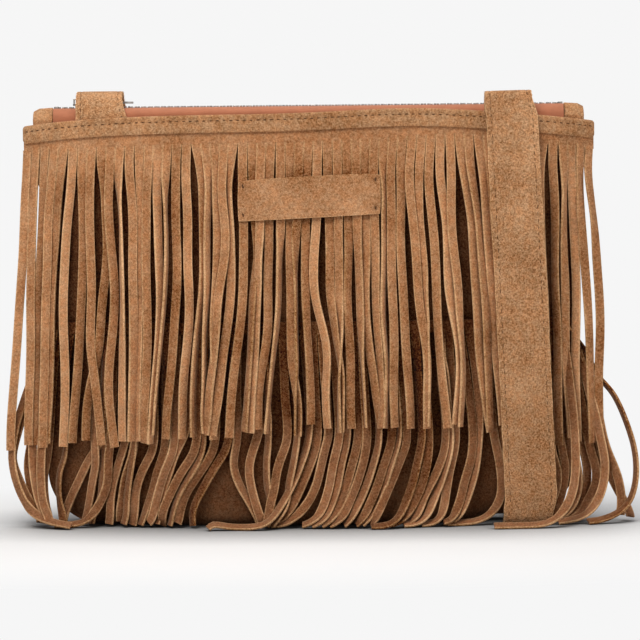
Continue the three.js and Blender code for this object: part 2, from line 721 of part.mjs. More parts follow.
function upperStrand(x, index, pitch, count) {
  const slit = upperSlit(x);
  const ends = (Math.abs(x) / (BAG_WIDTH / 2)) ** UPPER_END_POWER;
  const cut = LENGTH_CHANCE * chance(index, 1) - archDrop(x);
  const length = UPPER_LENGTH + UPPER_END_LENGTH * ends + cut;
  const parted = partingShift(x, pitch, count) + PLACE_CHANCE * chance(index, 2);
  const levels = [...UPPER_SLACK, { drop: length, slack: UPPER_TIP_SLACK }];
  return levels.map(({ drop, slack }, k) => {
    const z = slit - drop;
    const forward = k > (underPatch(x) ? 1 : 0) && index % 2 ? STRAND_STEP : 0;
    const opened = k > 1 ? 1 : 0;
    const shifted = x + opened * parted + between(UPPER_LEAN, x) * (drop / length);
    return strandSection(shifted, (edge) => pouchDepth(edge, z) + slack + forward, z);
  });
}

function upperFringe() {
  const { places, pitch, count } = strandPlaces(BAG_WIDTH);
  const strands = places.map((x, i) => upperStrand(x, i, pitch, count));
  const edge = BAG_WIDTH / 2 - (pitch - STRAND_WIDTH) / 2;
  const topEdge = STATIONS.map((u) => {
    const x = u * edge;
    const z = PANEL_TOP - archDrop(x);
    const depth = pouchDepth(x, z) + LAYER;
    return [[x, -(depth + STRAND_THICKNESS), z], [x, -depth, z]];
  });
  const face = pouchDepth(STRAP_LEFT, seamBottom) + FRONT_BACKING;
  return piece('upper_fringe', cutStrapSlots(fringeSolid(strands, topEdge), face), SUEDE_TAN);
}

const LOWER_SLACK = [
  { z: LOWER_TOP - LOWER_HEADER, slack: LAYER },
  { z: 74, slack: 1.1 },
  { z: 45, slack: 2 },
];
const LOWER_FLOOR_SLACK = 3.4;
const LOWER_PARTING = 0.7; // share of the upper tier's partings

const strapFoot = STRAP_RIGHT + Math.tan(degToRad(STRAP_LEAN)) * STRAP_RISE;

function lowerStrand(x, index, pitch, count) {
  const top = LOWER_SLACK[0].z;
  const forward = index % 2 ? STRAND_STEP : 0;
  const parted = LOWER_PARTING * partingShift(x, pitch, count) + PLACE_CHANCE * chance(index, 3);
  const shift = (z) => x + between(LOWER_LEAN, x) * ((top - z) / top) ** LOWER_LEAN_POWER;
  const sections = LOWER_SLACK.map(({ z, slack }, k) => {
    const moved = shift(z) + (k > 1 ? parted : 0);
    return strandSection(moved, (edge) => pouchDepth(edge, z) + slack + (k ? forward : 0), z);
  });
  const floor = shift(0) + parted;
  const bendTop = GROUND_GAP + FLOOR_BEND_RADIUS;
  const depth = pouchDepth(floor, bendTop) + LOWER_FLOOR_SLACK;
  if (Math.abs(floor - strapFoot) < (STRAP_WIDTH + STRAND_WIDTH) / 2 + STRAND_PITCH) {
    const end = STRAP_THICKNESS + 2 * FLOOR_BEND_RADIUS;
    sections.push(strandSection(floor, () => depth + forward, end));
    return sections;
  }
  const tail = FLOOR_TAIL + TAIL_CHANCE * chance(index, 4);
  for (const angle of [0, 50].map(degToRad)) {
    const radius = FLOOR_BEND_RADIUS - forward;
    const out = FLOOR_BEND_RADIUS - radius * Math.cos(angle);
    const up = bendTop - radius * Math.sin(angle);
    sections.push(strandSection(floor, () => depth + out, up, angle));
  }
  const reach = depth + FLOOR_BEND_RADIUS + tail;
  const end = floor + FLOOR_SWEEP;
  sections.push(strandSection(end, () => reach, GROUND_GAP + forward, degToRad(90)));
  return sections;
}

function lowerFringe() {
  const { places, pitch, count } = strandPlaces(BODY_WIDTH);
  const strands = places.map((x, i) => lowerStrand(x, i, pitch, count));
  const edge = BODY_WIDTH / 2 - (pitch - STRAND_WIDTH) / 2;
  const topEdge = STATIONS.map((u) => {
    const x = u * edge;
    const depth = pouchDepth(x, LOWER_TOP) + LAYER;
    return [[x, -(depth + STRAND_THICKNESS), LOWER_TOP], [x, -depth, LOWER_TOP]];
  });
  return piece('lower_fringe', fringeSolid(strands, topEdge), SUEDE_DARK);
}

// The front face of the upper tier's foremost strands at a height
function upperFace(x, z) {
  const drop = upperSlit(x) - z;
  const stops = [...UPPER_SLACK, { drop: UPPER_LENGTH, slack: UPPER_TIP_SLACK }];
  const next = Math.max(1, stops.findIndex((stop) => stop.drop >= drop));
  const [from, to] = [stops[next - 1], stops[next]];
  const share = clamp((drop - from.drop) / (to.drop - from.drop), 0, 1);
  const slack = lerp(from.slack, to.slack, share);
  const forward = STRAND_STEP * (underPatch(x) && next === 2 ? share : 1);
  return pouchDepth(x, z) + slack + forward + STRAND_THICKNESS;
}

function labelPatch() {
  const slope = Math.tan(degToRad(PATCH_TILT));
  const section = (x) => {
    const middle = PATCH_MIDDLE + x * slope;
    const heights = [-0.5, -0.25, 0, 0.5].map((share) => middle + share * PATCH_HEIGHT);
    const back = heights.map((z) => [x, -(upperFace(0, z) + CLEARANCE), z]);
    const front = back.map(([, y, z]) => [x, y - PATCH_THICKNESS, z]).reverse();
    return [...back, ...front];
  };
  const spots = [-0.5, -0.25, 0, 0.25, 0.5].map((share) => section(share * PATCH_LENGTH));
  return piece('label_patch', loft(spots), SUEDE_PALE);
}

// Strap

// Walks a flat strap through space. It bends towards its upper side when the angle is
// positive, about an axis across the strap that may be slanted. ahead, across and up
// are its own three directions.
class StrapWalk {
  constructor(start, ahead, across) {
    this.at = new THREE.Vector3(...start);
    this.ahead = new THREE.Vector3(...ahead);
    this.across = new THREE.Vector3(...across);
    this.sections = [];
    this.mark();
  }

  get up() {
    return new THREE.Vector3().crossVectors(this.across, this.ahead);
  }

  mark(slant = 0) {
    const half = this.across.clone().addScaledVector(this.ahead, Math.tan(slant));
    half.multiplyScalar(STRAP_WIDTH / 2);
    const rise = this.up.multiplyScalar(STRAP_THICKNESS / 2);
    const corner = (side, face) => this.at.clone()
      .addScaledVector(half, side)
      .addScaledVector(rise, face)
      .toArray();
    this.sections.push([corner(-1, -1), corner(1, -1), corner(1, 1), corner(-1, 1)]);
    return this;
  }

  go(length) {
    this.at.addScaledVector(this.ahead, length);
    return this.mark();
  }

  // Straight on until one coordinate has a value.
  until(axis, value) {
    return this.go((value - this.at[axis]) / this.ahead[axis]);
  }

  bend(degrees, radius, steps, slantDegrees = 0) {
    const slant = degToRad(slantDegrees);
    const axis = this.across.clone().multiplyScalar(Math.cos(slant));
    axis.addScaledVector(this.ahead, Math.sin(slant)).normalize();
    const side = Math.sign(degrees);
    const centre = this.at.clone().addScaledVector(this.up, side * radius);
    const angle = degToRad(degrees) / steps;
    const along = radius * Math.abs(angle) * Math.tan(slant);
    if (Math.abs(slantDegrees) > 5) this.mark(slant);
    for (let k = 0; k < steps; k += 1) {
      this.at.sub(centre).applyAxisAngle(axis, angle).add(centre).addScaledVector(axis, along);
      centre.addScaledVector(axis, along);
      this.ahead.applyAxisAngle(axis, angle);
      this.across.applyAxisAngle(axis, angle);
      this.mark(slant);
    }
    return this;
  }
}

// The depth at which the strap's middle clears what lies under it all the way down,
// as the depth at the belly of a straight hang from a given depth at the mouth.
function hangDepth(x, face, fromDepth, fromHeight) {
  const inner = Math.abs(x) - STRAP_WIDTH / 2;
  const reach = fromHeight - BELLY_HEIGHT;
  const need = [0.25, 0.5, 0.75, 1, 1.25].map((share) => {
    const depth = face(inner, fromHeight - share * reach) + CLEARANCE + STRAP_THICKNESS / 2;
    return fromDepth + (depth - fromDepth) / Math.min(share, 1);
  });
  return Math.max(...need);
}

// Brings the strap, face down, from the top of a fold to the ground beside it.
function comeDown(walk, ground) {
  const left = STRAP_EASE_RADIUS * (1 - Math.cos(degToRad(STRAP_DIP)));
  walk.bend(STRAP_DIP, STRAP_EASE_RADIUS, 1).until('z', ground + left);
  walk.bend(-STRAP_DIP, STRAP_EASE_RADIUS, 1);
}

function strap() {
  const half = STRAP_THICKNESS / 2;
  const ground = GROUND_GAP + half;
  const diagonal = STRAP_WIDTH / 2 + STRAP_FOLD_ROOM;
  const foldShift = (Math.PI * STRAP_FOLD_RADIUS) / Math.SQRT2;

  const frontFace = pouchDepth(STRAP_RIGHT, BAND_TOP) + FRONT_BACKING + BAND_THICKNESS;
  const frontDepth = frontFace + 2 * CLEARANCE + half;
  const frontRadius = (frontDepth - strapSeam) / 2;
  const foldHeight = STRAP_RISE - frontRadius;
  const hang = hangDepth(STRAP_RIGHT, upperFace, frontDepth, foldHeight);
  const frontSlope = THREE.MathUtils.radToDeg(Math.atan2(hang - frontDepth, foldHeight - BELLY_HEIGHT));

  const walk = new StrapWalk([STRAP_RIGHT, -strapSeam, seamBottom], [0, 0, 1], [1, 0, 0]);
  walk.until('z', BAND_TOP).until('z', foldHeight);
  walk.bend(180, frontRadius, 6, STRAP_LEAN / 2).bend(-frontSlope, STRAP_SOFT_RADIUS, 2);
  walk.until('z', BELLY_HEIGHT + STRAP_EASE_RADIUS).bend(frontSlope, STRAP_SOFT_RADIUS, 2);
  walk.until('z', ground + STRAP_FOOT_RADIUS);
  walk.bend(90, STRAP_FOOT_RADIUS, 4, STRAP_LEAN).until('y', BELLY_DEPTH / 2);

  // A slanted fold turns it along the ground behind the bag, to the left.
  walk.until('y', STRAP_BEHIND - diagonal).until('y', STRAP_BEHIND);
  walk.sections.pop();
  walk.bend(180, STRAP_FOLD_RADIUS, 4, STRAP_LEAN / 2 - 45).go(diagonal);
  comeDown(walk, ground);
  walk.until('x', -STRAP_STACK_HALF).bend(-180, STRAP_FOLD_RADIUS, 4);
  walk.until('x', STRAP_STACK_HALF).bend(180, STRAP_FOLD_RADIUS, 4);
  walk.until('x', -STRAP_STACK_HALF - 2 * STRAP_THICKNESS);
  comeDown(walk, ground);

  // A second slanted fold turns it to the bag's back, which it climbs.
  const turn = STRAP_LEFT + foldShift;
  walk.until('x', turn + diagonal).until('x', turn);
  walk.sections.pop();
  walk.bend(-180, STRAP_FOLD_RADIUS, 4, 45).go(diagonal);
  const backTop = pouchDepth(STRAP_LEFT, BAND_TOP) + BACK_BACKING + BAND_THICKNESS + CLEARANCE + half;
  const archDepth = backTop + CLEARANCE;
  const archRadius = (archDepth + strapSeam) / 2;
  const archHeight = STRAP_RISE - archRadius;
  const climb = hangDepth(STRAP_LEFT, pouchDepth, archDepth, archHeight);
  const backSlope = THREE.MathUtils.radToDeg(Math.atan2(climb - archDepth, archHeight - BELLY_HEIGHT));
  walk.until('y', climb + STRAP_FOOT_RADIUS).bend(90, STRAP_FOOT_RADIUS, 4);
  walk.until('z', BELLY_HEIGHT).bend(-backSlope, STRAP_SOFT_RADIUS, 2);
  walk.until('y', archDepth + CLEARANCE).bend(backSlope, STRAP_SOFT_RADIUS, 2);
  walk.until('z', archHeight).bend(-180, (walk.at.y + strapSeam) / 2, 8);
  walk.until('z', BAND_TOP).until('z', seamBottom);
  return piece('strap', loft(walk.sections), SUEDE_TAN);
}

const bag = new THREE.Group();
bag.add(
  ...panels(),
  lining(),
  upperFringe(),
  lowerFringe(),
  band('front_band', -1, FRONT_BACKING),
  band('back_band', 1, BACK_BACKING),
  zipTape('zip_tape_front', -1),
  zipTape('zip_tape_back', 1),
  teethRow('zip_teeth_front', -1),
  teethRow('zip_teeth_back', 1),
  ...zipStops(),
  endTab('zip_end_tab_left', -1),
  endTab('zip_end_tab_right', 1),
  slider(),
  strap(),
  labelPatch(),
);

export default bag;
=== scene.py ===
"""A fringed suede shoulder bag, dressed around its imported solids.

Lengths in the functions are millimetres, as on a pattern; meshes are made in metres.
"""

import math

import bmesh
import bpy
import numpy as np
from bpy.props import FloatProperty, FloatVectorProperty, IntProperty, PointerProperty
from mathutils import Matrix, Vector, kdtree


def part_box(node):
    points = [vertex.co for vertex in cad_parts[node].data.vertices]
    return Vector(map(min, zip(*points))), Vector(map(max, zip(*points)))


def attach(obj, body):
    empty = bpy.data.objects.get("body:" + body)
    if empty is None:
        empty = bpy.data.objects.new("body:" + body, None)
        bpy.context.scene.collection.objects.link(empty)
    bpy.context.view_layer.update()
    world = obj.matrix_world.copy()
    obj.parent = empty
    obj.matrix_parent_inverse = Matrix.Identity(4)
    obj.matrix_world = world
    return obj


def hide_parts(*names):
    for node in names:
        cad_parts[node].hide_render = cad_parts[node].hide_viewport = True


bl_info = {
    "name": "Fringed suede bag",
    "version": (1, 0, 0),
    "blender": (4, 5, 0),
    "location": "3D View > Sidebar > Bag",
    "description": "Builds the soft and visible pieces of a fringed suede shoulder bag",
    "category": "Object",
}

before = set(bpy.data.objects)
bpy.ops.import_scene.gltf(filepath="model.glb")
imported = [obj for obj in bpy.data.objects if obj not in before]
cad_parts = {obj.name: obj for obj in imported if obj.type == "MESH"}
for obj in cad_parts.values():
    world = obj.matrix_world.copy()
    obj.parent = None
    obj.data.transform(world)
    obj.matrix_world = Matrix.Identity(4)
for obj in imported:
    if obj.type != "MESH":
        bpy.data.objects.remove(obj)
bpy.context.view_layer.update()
MM = 0.001


def cad_box(node):
    """Lowest and highest corner of a CAD node, in millimetres."""
    return [np.array(corner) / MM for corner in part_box(node)]


# Sizes that the pieces share with the solids

BAND_LOW, BAND_HIGH = cad_box("front_band")
BAG_WIDTH = float(BAND_HIGH[0] - BAND_LOW[0])
PANEL_TOP = float(cad_box("back_panel")[1][2])
BELLY_DEPTH = 2 * float(cad_box("back_panel")[1][1])
BODY_WIDTH = 270.0
MOUTH_ARCH = 5.0
NECK_DROP = 45.0
MOUTH_DEPTH = 18.6
BELLY_HEIGHT = 72.0
BASE_DEPTH = 40.0
BASE_EDGE = 6.0
CORNER = 28.0
MOUTH_CURVE = 28.0
BODY_CURVE = 110.0
PILLOW_POWER = 2.2
SUEDE = 1.4
LINING = 0.6
STRAND = 1.2
LAYER = 0.32
CLEARANCE = 0.3
GROUND = 0.2
BAND_HEIGHT = 9.0
BAND_THICKNESS = 1.1
BAND_TOP = PANEL_TOP + LAYER + BAND_THICKNESS
FRONT_BACKING = LAYER + STRAND + LAYER
ZIP_HEIGHT = PANEL_TOP + 5.0
CHAIN_LENGTH = 253.0
CHAIN_SLOT = 1.2
TOOTH_REACH = 1.4
CORD_WIDTH = 0.9
STOP_LENGTH = 2.2
TAPE_THICKNESS = 0.7
TAPE_HEM = 9.0
STRAP_WIDTH = 26.0
STRAP_THICKNESS = 2.4
STRAP_LEFT = -104.5
STRAP_RIGHT = 102.0
STRAP_SEAM_DEPTH = 8.0
STRAP_RISE = 219.5
STRAP_LEAN = 2.3
STRAP_BEHIND = 50.0
STRAP_STACK_HALF = 40.0
FOLD_RADIUS = 1.5
FOLD_ROOM = 1.5
FOOT_RADIUS = 4.5
SOFT_RADIUS = 40.0
EASE_RADIUS = 10.0
EASE_DEGREES = 10.0
TUNNEL = 3.2
TUNNEL_RAMP = 16.0
TUNNEL_START = STRAP_RIGHT - STRAP_WIDTH / 2 - TUNNEL_RAMP
TUNNEL_FADE = 60.0

# Sizes of the scene alone

UPPER_COUNT = 61
UPPER_SLACK = ((0, 10, 49, 99, 147), (0.32, 0.8, 2.4, 5.4, 6.4))
HEADER_BELOW_BAND = 5.5
LOWER_TOP = 104.0
LOWER_HEADER = 6.0
STRAND_CORNER = 0.22
LINING_INSET = 3.0
LINING_FLOOR = 3.4
LINING_DROP = 3.2
PATCH_LENGTH = 72.0
PATCH_HEIGHT = 20.8
PATCH_MIDDLE = 166.6
PATCH_SLOPE = math.tan(math.radians(2.5))
PATCH_THICKNESS = 1.4
HOLE_FROM_SIDE = 2.6
HOLE_FROM_EDGE = 3.2
PATCH_CORNERS = [
    (side * (PATCH_LENGTH / 2 - HOLE_FROM_SIDE), edge * (PATCH_HEIGHT / 2 - HOLE_FROM_EDGE))
    for side in (-1, 1)
    for edge in (-1, 1)
]
STITCH_SINK = 0.08

# The photo: its size in pixels, millimetres to a pixel at the bag's middle plane, the column of
# the mouth's middle, and the column and row that the camera is aimed by
PHOTO_SIZE = 640
PHOTO_MIDDLE = PHOTO_SIZE // 2
PIXEL = 0.506
MIDDLE_COLUMN = 308.5
CAMERA_COLUMN = 310.5
GROUND_ROW = 526

# The same for the foremost strands, which stand nearer: millimetres to a pixel, x at the photo's
# middle and the row of the ground; then the two enlarged crops that they were read off
FRONT_PIXEL = 0.5015
FRONT_MIDDLE = 4.8
FRONT_GROUND_ROW = 526.5
CROP_ENLARGED = 4.9
CROP_TOP = 330
LEFT_CROP_START = 0
RIGHT_CROP_START = 320


def smooth(share):
    """Eases from 0 to 1 with no corner at either end."""
    t = np.clip(share, 0, 1)
    return t * t * (3 - 2 * t)


def mix(low, high, share):
    return low + (high - low) * share


def round_off(height, radius, reach):
    """How far a rounded bottom edge draws in at a height above it."""
    return reach * (1 - np.sqrt(1 - np.clip(1 - height / radius, 0, 1) ** 2))


def half_width(z):
    """Half the pouch's width at a height."""
    neck = smooth((z - PANEL_TOP + NECK_DROP) / NECK_DROP)
    return mix(BODY_WIDTH, BAG_WIDTH, neck) / 2 - round_off(z, CORNER, CORNER)


def half_depth(z):
    """Half the pouch's depth at a height, in its middle."""
    above = smooth((z - BELLY_HEIGHT) / (PANEL_TOP - BELLY_HEIGHT))
    lower = mix(BASE_DEPTH, BELLY_DEPTH, smooth(z / BELLY_HEIGHT))
    depth = np.where(z > BELLY_HEIGHT, mix(BELLY_DEPTH, MOUTH_DEPTH, above), lower)
    return depth / 2 - round_off(z, BASE_EDGE, BASE_EDGE)


def level_depth(x, level, inset=0.0):
    """How far the pouch stands out from its middle plane."""
    x, level = np.asarray(x, float), np.asarray(level, float)
    rise = (level - BELLY_HEIGHT) / (PANEL_TOP - BAND_HEIGHT - BELLY_HEIGHT)
    curve = mix(BODY_CURVE, MOUTH_CURVE, smooth(rise))
    along = np.clip((np.abs(x) - half_width(level) + inset + curve) / curve, 0, 1)
    return (half_depth(level) - inset) * (1 - along**PILLOW_POWER)


def arch_drop(x):
    """How far the mouth's line drops towards its ends."""
    return MOUTH_ARCH * (np.abs(x) / (BAG_WIDTH / 2)) ** 4


def sag(x, level):
    """How far a level of the wall is drawn down with the mouth's line."""
    return arch_drop(x) * smooth((level - BELLY_HEIGHT) / (PANEL_TOP - BELLY_HEIGHT))


def pouch_depth(x, z, inset=0.0):
    """How far the pouch's face stands out at a place seen from the front."""
    return level_depth(x, z + sag(x, z + sag(x, z)), inset)


def base_lift(x, z):
    """How far the base is raised where the strap passes under it."""
    return TUNNEL * smooth((x - TUNNEL_START - 7) / 9) * np.clip(1 - z / TUNNEL_FADE, 0, 1)


SEAM_BOTTOM = PANEL_TOP - float(arch_drop(STRAP_LEFT)) - STRAP_SEAM_DEPTH
STRAP_SEAM = float(pouch_depth(STRAP_LEFT, SEAM_BOTTOM)) - SUEDE + STRAP_THICKNESS / 2


def crown(x):
    """The front band stands a little higher right of its middle."""
    return 2.4 * np.exp(-(((x - 52) / 46) ** 2))


def upper_slit(x):
    """The lower edge of the upper tier's uncut strip, a little below the band."""
    return BAND_TOP - BAND_HEIGHT - HEADER_BELOW_BAND - arch_drop(x) + crown(x)


def upper_cut(x):
    """Where the cuts between the upper strands begin: higher up left of the strap."""
    return upper_slit(x) + 2.6 * np.exp(-(((x - 78) / 22) ** 2))


def upper_face(x, z):
    """The front of the upper tier's foremost strands."""
    slack = np.interp(upper_slit(x) - z, *UPPER_SLACK)
    return pouch_depth(x, z) + slack + STRAND + 1.5


# Meshes


def link(obj):
    bpy.context.scene.collection.objects.link(obj)
    return obj


def mesh_object(name, points, faces, material, smooth_shaded=True):
    """A closed or open mesh from points in millimetres, with faces outwards."""
    mesh = bpy.data.meshes.new(name)
    mesh.from_pydata((np.asarray(points, float) * MM).tolist(), [], faces)
    mesh.materials.append(material)
    shell = bmesh.new()
    shell.from_mesh(mesh)
    bmesh.ops.recalc_face_normals(shell, faces=shell.faces)
    shell.to_mesh(mesh)
    shell.free()
    if smooth_shaded:
        mesh.shade_smooth()
    return link(bpy.data.objects.new(name, mesh))


def loft(name, sections, material):
    """A solid from a row of matching closed outlines."""
    sections = np.asarray(sections, float)
    count, around = sections.shape[:2]
    faces = []
    for start in range(0, (count - 1) * around, around):
        for i in range(around):
            after = (i + 1) % around
            faces.append((start + i, start + after, start + around + after, start + around + i))
    faces.append(tuple(range(around)))
    faces.append(tuple(range((count - 1) * around, count * around)))
    return mesh_object(name, sections.reshape(-1, 3), faces, material)


def grid_faces(rows, columns):
    return [
        (r * columns + c, r * columns + c + 1, (r + 1) * columns + c + 1, (r + 1) * columns + c)
        for r in range(rows - 1)
        for c in range(columns - 1)
    ]


def set_attribute(mesh, name, values):
    """One number, or three, for each point of a mesh."""
    values = np.asarray(values, np.float32)
    if values.ndim == 2:
        mesh.attributes.new(name, "FLOAT_VECTOR", "POINT").data.foreach_set("vector", values.ravel())
    else:
        mesh.attributes.new(name, "FLOAT", "POINT").data.foreach_set("value", values)


def heights_of(obj):
    return np.array([vertex.co.z for vertex in obj.data.vertices]) / MM


def finish(obj, body, slot, *nodes):
    """Says what a finished piece rides on and stands for; slot is not used."""
    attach(obj, body)
    if nodes:
        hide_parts(*nodes)


def evaluated(obj, name):
    """A plain object with what the modifiers of another make; that one goes."""
    bpy.context.view_layer.update()
    graph = bpy.context.evaluated_depsgraph_get()
    mesh = bpy.data.meshes.new_from_object(
        obj.evaluated_get(graph), preserve_all_data_layers=True, depsgraph=graph
    )
    mesh.name = name
    obj.modifiers.clear()
    bpy.data.objects.remove(obj)
    return link(bpy.data.objects.new(name, mesh))


def wall_from_sheet(sheet, side, thickness, name):
    """Gives a sheet whose outside looks along side on Y a wall behind it."""
    faces = sheet.data.polygons
    if faces[len(faces) // 2].normal.y * side < 0:
        sheet.data.flip_normals()
    wall = sheet.modifiers.new("Wall", "SOLIDIFY")
    wall.thickness = thickness * MM
    wall.offset = -1.0
    return evaluated(sheet, name)


def softened(node, name, material, bevel):
    """A copy of a CAD node with its edges rounded."""
    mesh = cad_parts[node].data.copy()
    mesh.materials.clear()
    mesh.materials.append(material)
    shell = bmesh.new()
    shell.from_mesh(mesh)
    bmesh.ops.remove_doubles(shell, verts=shell.verts, dist=1e-6)
    bmesh.ops.dissolve_limit(
        shell, angle_limit=math.radians(2), verts=shell.verts, edges=shell.edges
    )
    shell.to_mesh(mesh)
    shell.free()
    obj = link(bpy.data.objects.new(name + "_rounded", mesh))
    rounding = obj.modifiers.new("Rounding", "BEVEL")
    rounding.width = bevel * MM
    rounding.segments = 2
    rounding.limit_method = "ANGLE"
    rounding.angle_limit = math.radians(25)
    rounding.harden_normals = True
    mesh.shade_smooth()
    return evaluated(obj, name)


# Node trees


def wire(tree, kind, inputs=None, **settings):
    """Adds a node, sets it up, and links or sets its inputs."""
    node = tree.nodes.new(kind)
    for key, value in settings.items():
        setattr(node, key, value)
    for key, value in (inputs or {}).items():
        if isinstance(value, bpy.types.NodeSocket):
            tree.links.new(value, node.inputs[key])
        else:
            node.inputs[key].default_value = value
    return node


def new_geometry_tree(name, sockets):
    """An empty tree with named inputs, its input node and their identifiers."""
    tree = bpy.data.node_groups.new(name, "GeometryNodeTree")
    tree.interface.new_socket("Geometry", in_out="INPUT", socket_type="NodeSocketGeometry")
    tree.interface.new_socket("Geometry", in_out="OUTPUT", socket_type="NodeSocketGeometry")
    identifiers = {}
    for socket, (kind, value) in sockets.items():
        made = tree.interface.new_socket(socket, in_out="INPUT", socket_type=kind)
        identifiers[socket] = made.identifier
        if value is not None:
            made.default_value = value
    return tree, wire(tree, "NodeGroupInput"), identifiers


def end_tree(tree, geometry, material):
    """Every tree ends in real geometry with its material."""
    real = wire(tree, "GeometryNodeRealizeInstances", {"Geometry": geometry})
    made = wire(tree, "GeometryNodeSetMaterial", {"Geometry": real.outputs[0], "Material": material})
    wire(tree, "NodeGroupOutput", {"Geometry": made.outputs[0]})


def grow(obj, tree, identifiers, values, name):
    """Runs a tree on an object, and returns the plain mesh object that it makes."""
    growth = obj.modifiers.new("Growth", "NODES")
    growth.node_group = tree
    for key, value in values.items():
        growth[identifiers[key]] = value
    return evaluated(obj, name)


def worked_out(tree, operation, *values):
    """The result of one step of arithmetic on sockets and numbers."""
    return wire(tree, "ShaderNodeMath", dict(enumerate(values)), operation=operation).outputs[0]


def strand_tree():
    """Lays a strip with cut edges along each line of a mesh of lines."""
    tree, given, identifiers = new_geometry_tree(
        "Strands along lines",
        {
            "Width": ("NodeSocketFloat", 0.0043),
            "Thickness": ("NodeSocketFloat", 0.0012),
            "Corner": ("NodeSocketFloat", 0.0002),
            "Material": ("NodeSocketMaterial", None),
        },
    )
    lines = wire(tree, "GeometryNodeMeshToCurve", {"Mesh": given.outputs["Geometry"]})
    facing = wire(tree, "GeometryNodeInputNamedAttribute", {"Name": "facing"}, data_type="FLOAT_VECTOR")
    turned = wire(tree, "GeometryNodeSetCurveNormal", {"Curve": lines.outputs[0]}, mode="FREE")
    tree.links.new(facing.outputs[0], turned.inputs["Normal"])
    outline = wire(
        tree,
        "GeometryNodeCurvePrimitiveQuadrilateral",
        {"Width": given.outputs["Thickness"], "Height": given.outputs["Width"]},
    )
    rounded = wire(
        tree,
        "GeometryNodeFilletCurve",
        {"Curve": outline.outputs[0], "Radius": given.outputs["Corner"]},
        mode="POLY",
    )
    halved = wire(tree, "GeometryNodeSubdivideCurve", {"Curve": rounded.outputs[0], "Cuts": 1})
    place = wire(tree, "GeometryNodeInputPosition")
    split = wire(tree, "ShaderNodeSeparateXYZ", {0: place.outputs[0]})
    away = worked_out(tree, "ABSOLUTE", split.outputs["Y"])
    edge = worked_out(tree, "DIVIDE", away, given.outputs["Width"])
    marked = wire(
        tree,
        "GeometryNodeStoreNamedAttribute",
        {"Geometry": halved.outputs[0], "Name": "edge"},
        data_type="FLOAT",
        domain="POINT",
    )
    tree.links.new(edge, marked.inputs["Value"])
    strip = wire(
        tree,
        "GeometryNodeCurveToMesh",
        {
            "Curve": turned.outputs[0],
            "Profile Curve": marked.outputs[0],
            "Scale": wire(tree, "GeometryNodeInputNamedAttribute", {"Name": "size"}).outputs[0],
            "Fill Caps": True,
        },
    )
    end_tree(tree, strip.outputs[0], given.outputs["Material"])
    return tree, identifiers


def repeat_tree():
    """Repeats a small piece along each line of a mesh of lines."""
    tree, given, identifiers = new_geometry_tree(
        "Repeat along lines",
        {
            "Piece": ("NodeSocketObject", None),
            "Spacing": ("NodeSocketFloat", 0.004),
            "Unevenness": ("NodeSocketFloat", 0.0),
            "Seed": ("NodeSocketInt", 3),
            "Material": ("NodeSocketMaterial", None),
        },
    )
    lines = wire(tree, "GeometryNodeMeshToCurve", {"Mesh": given.outputs["Geometry"]})
    facing = wire(tree, "GeometryNodeInputNamedAttribute", {"Name": "facing"}, data_type="FLOAT_VECTOR")
    spots = wire(
        tree,
        "GeometryNodeCurveToPoints",
        {"Curve": lines.outputs[0], "Length": given.outputs["Spacing"]},
        mode="LENGTH",
    )
    turn = wire(
        tree,
        "FunctionNodeAxesToRotation",
        {0: spots.outputs["Tangent"], 1: facing.outputs[0]},
        primary_axis="X",
        secondary_axis="Z",
    )
    least = worked_out(tree, "SUBTRACT", 1.0, given.outputs["Unevenness"])
    size = wire(
        tree,
        "FunctionNodeRandomValue",
        {"Min": least, "Max": 1.0, "Seed": given.outputs["Seed"]},
        data_type="FLOAT",
    )
    piece = wire(tree, "GeometryNodeObjectInfo", {"Object": given.outputs["Piece"], "As Instance": True})
    copies = wire(
        tree,
        "GeometryNodeInstanceOnPoints",
        {
            "Points": spots.outputs["Points"],
            "Instance": piece.outputs["Geometry"],
            "Rotation": turn.outputs[0],
            "Scale": size.outputs[1],
        },
    )
    end_tree(tree, copies.outputs[0], given.outputs["Material"])
    return tree, identifiers


def lines_object(name, lines, facings, shades=None, sizes=None):
    """A mesh of open lines in millimetres, each point with the way that its face looks."""
    points = np.concatenate(lines)
    edges, start = [], 0
    for line in lines:
        edges += [(start + i, start + i + 1) for i in range(len(line) - 1)]
        start += len(line)
    mesh = bpy.data.meshes.new(name)
    mesh.from_pydata((points * MM).tolist(), edges, [])
    set_attribute(mesh, "facing", np.concatenate(facings))
    if shades is not None:
        set_attribute(mesh, "shade", np.concatenate(shades))
        set_attribute(mesh, "size", np.concatenate(sizes))
    return link(bpy.data.objects.new(name, mesh))


def small_piece(name, shell):
    """A little piece drawn in millimetres, as an object in metres."""
    bmesh.ops.scale(shell, vec=(MM, MM, MM), verts=shell.verts)
    mesh = bpy.data.meshes.new(name)
    shell.to_mesh(mesh)
    shell.free()
    return link(bpy.data.objects.new(name, mesh))


def repeated(name, piece, lines, facings, spacing, unevenness, seed, material):
    """Sets copies of a small piece along lines; the single one goes."""
    tree, identifiers = repeat_tree()
    values = {
        "Piece": piece,
        "Spacing": spacing * MM,
        "Unevenness": unevenness,
        "Seed": seed,
        "Material": material,
    }
    made = grow(lines_object(name + "_line", lines, facings), tree, identifiers, values, name)
    bpy.data.objects.remove(piece)
    return made


def stitches(name, lines, facings, length, gap, width):
    """Rows of stitches, one for each line, as small rounded bars."""
    shell = bmesh.new()
    bmesh.ops.create_uvsphere(shell, u_segments=8, v_segments=5, radius=0.5)
    bmesh.ops.scale(shell, vec=(width, width * 0.8, length), verts=shell.verts)
    bmesh.ops.rotate(shell, matrix=Matrix.Rotation(math.pi / 2, 3, "Y"), verts=shell.verts)
    thread = small_piece("stitch", shell)
    thread.data.shade_smooth()
    return repeated(name, thread, lines, facings, length + gap, 0.2, 5, material_for("thread"))


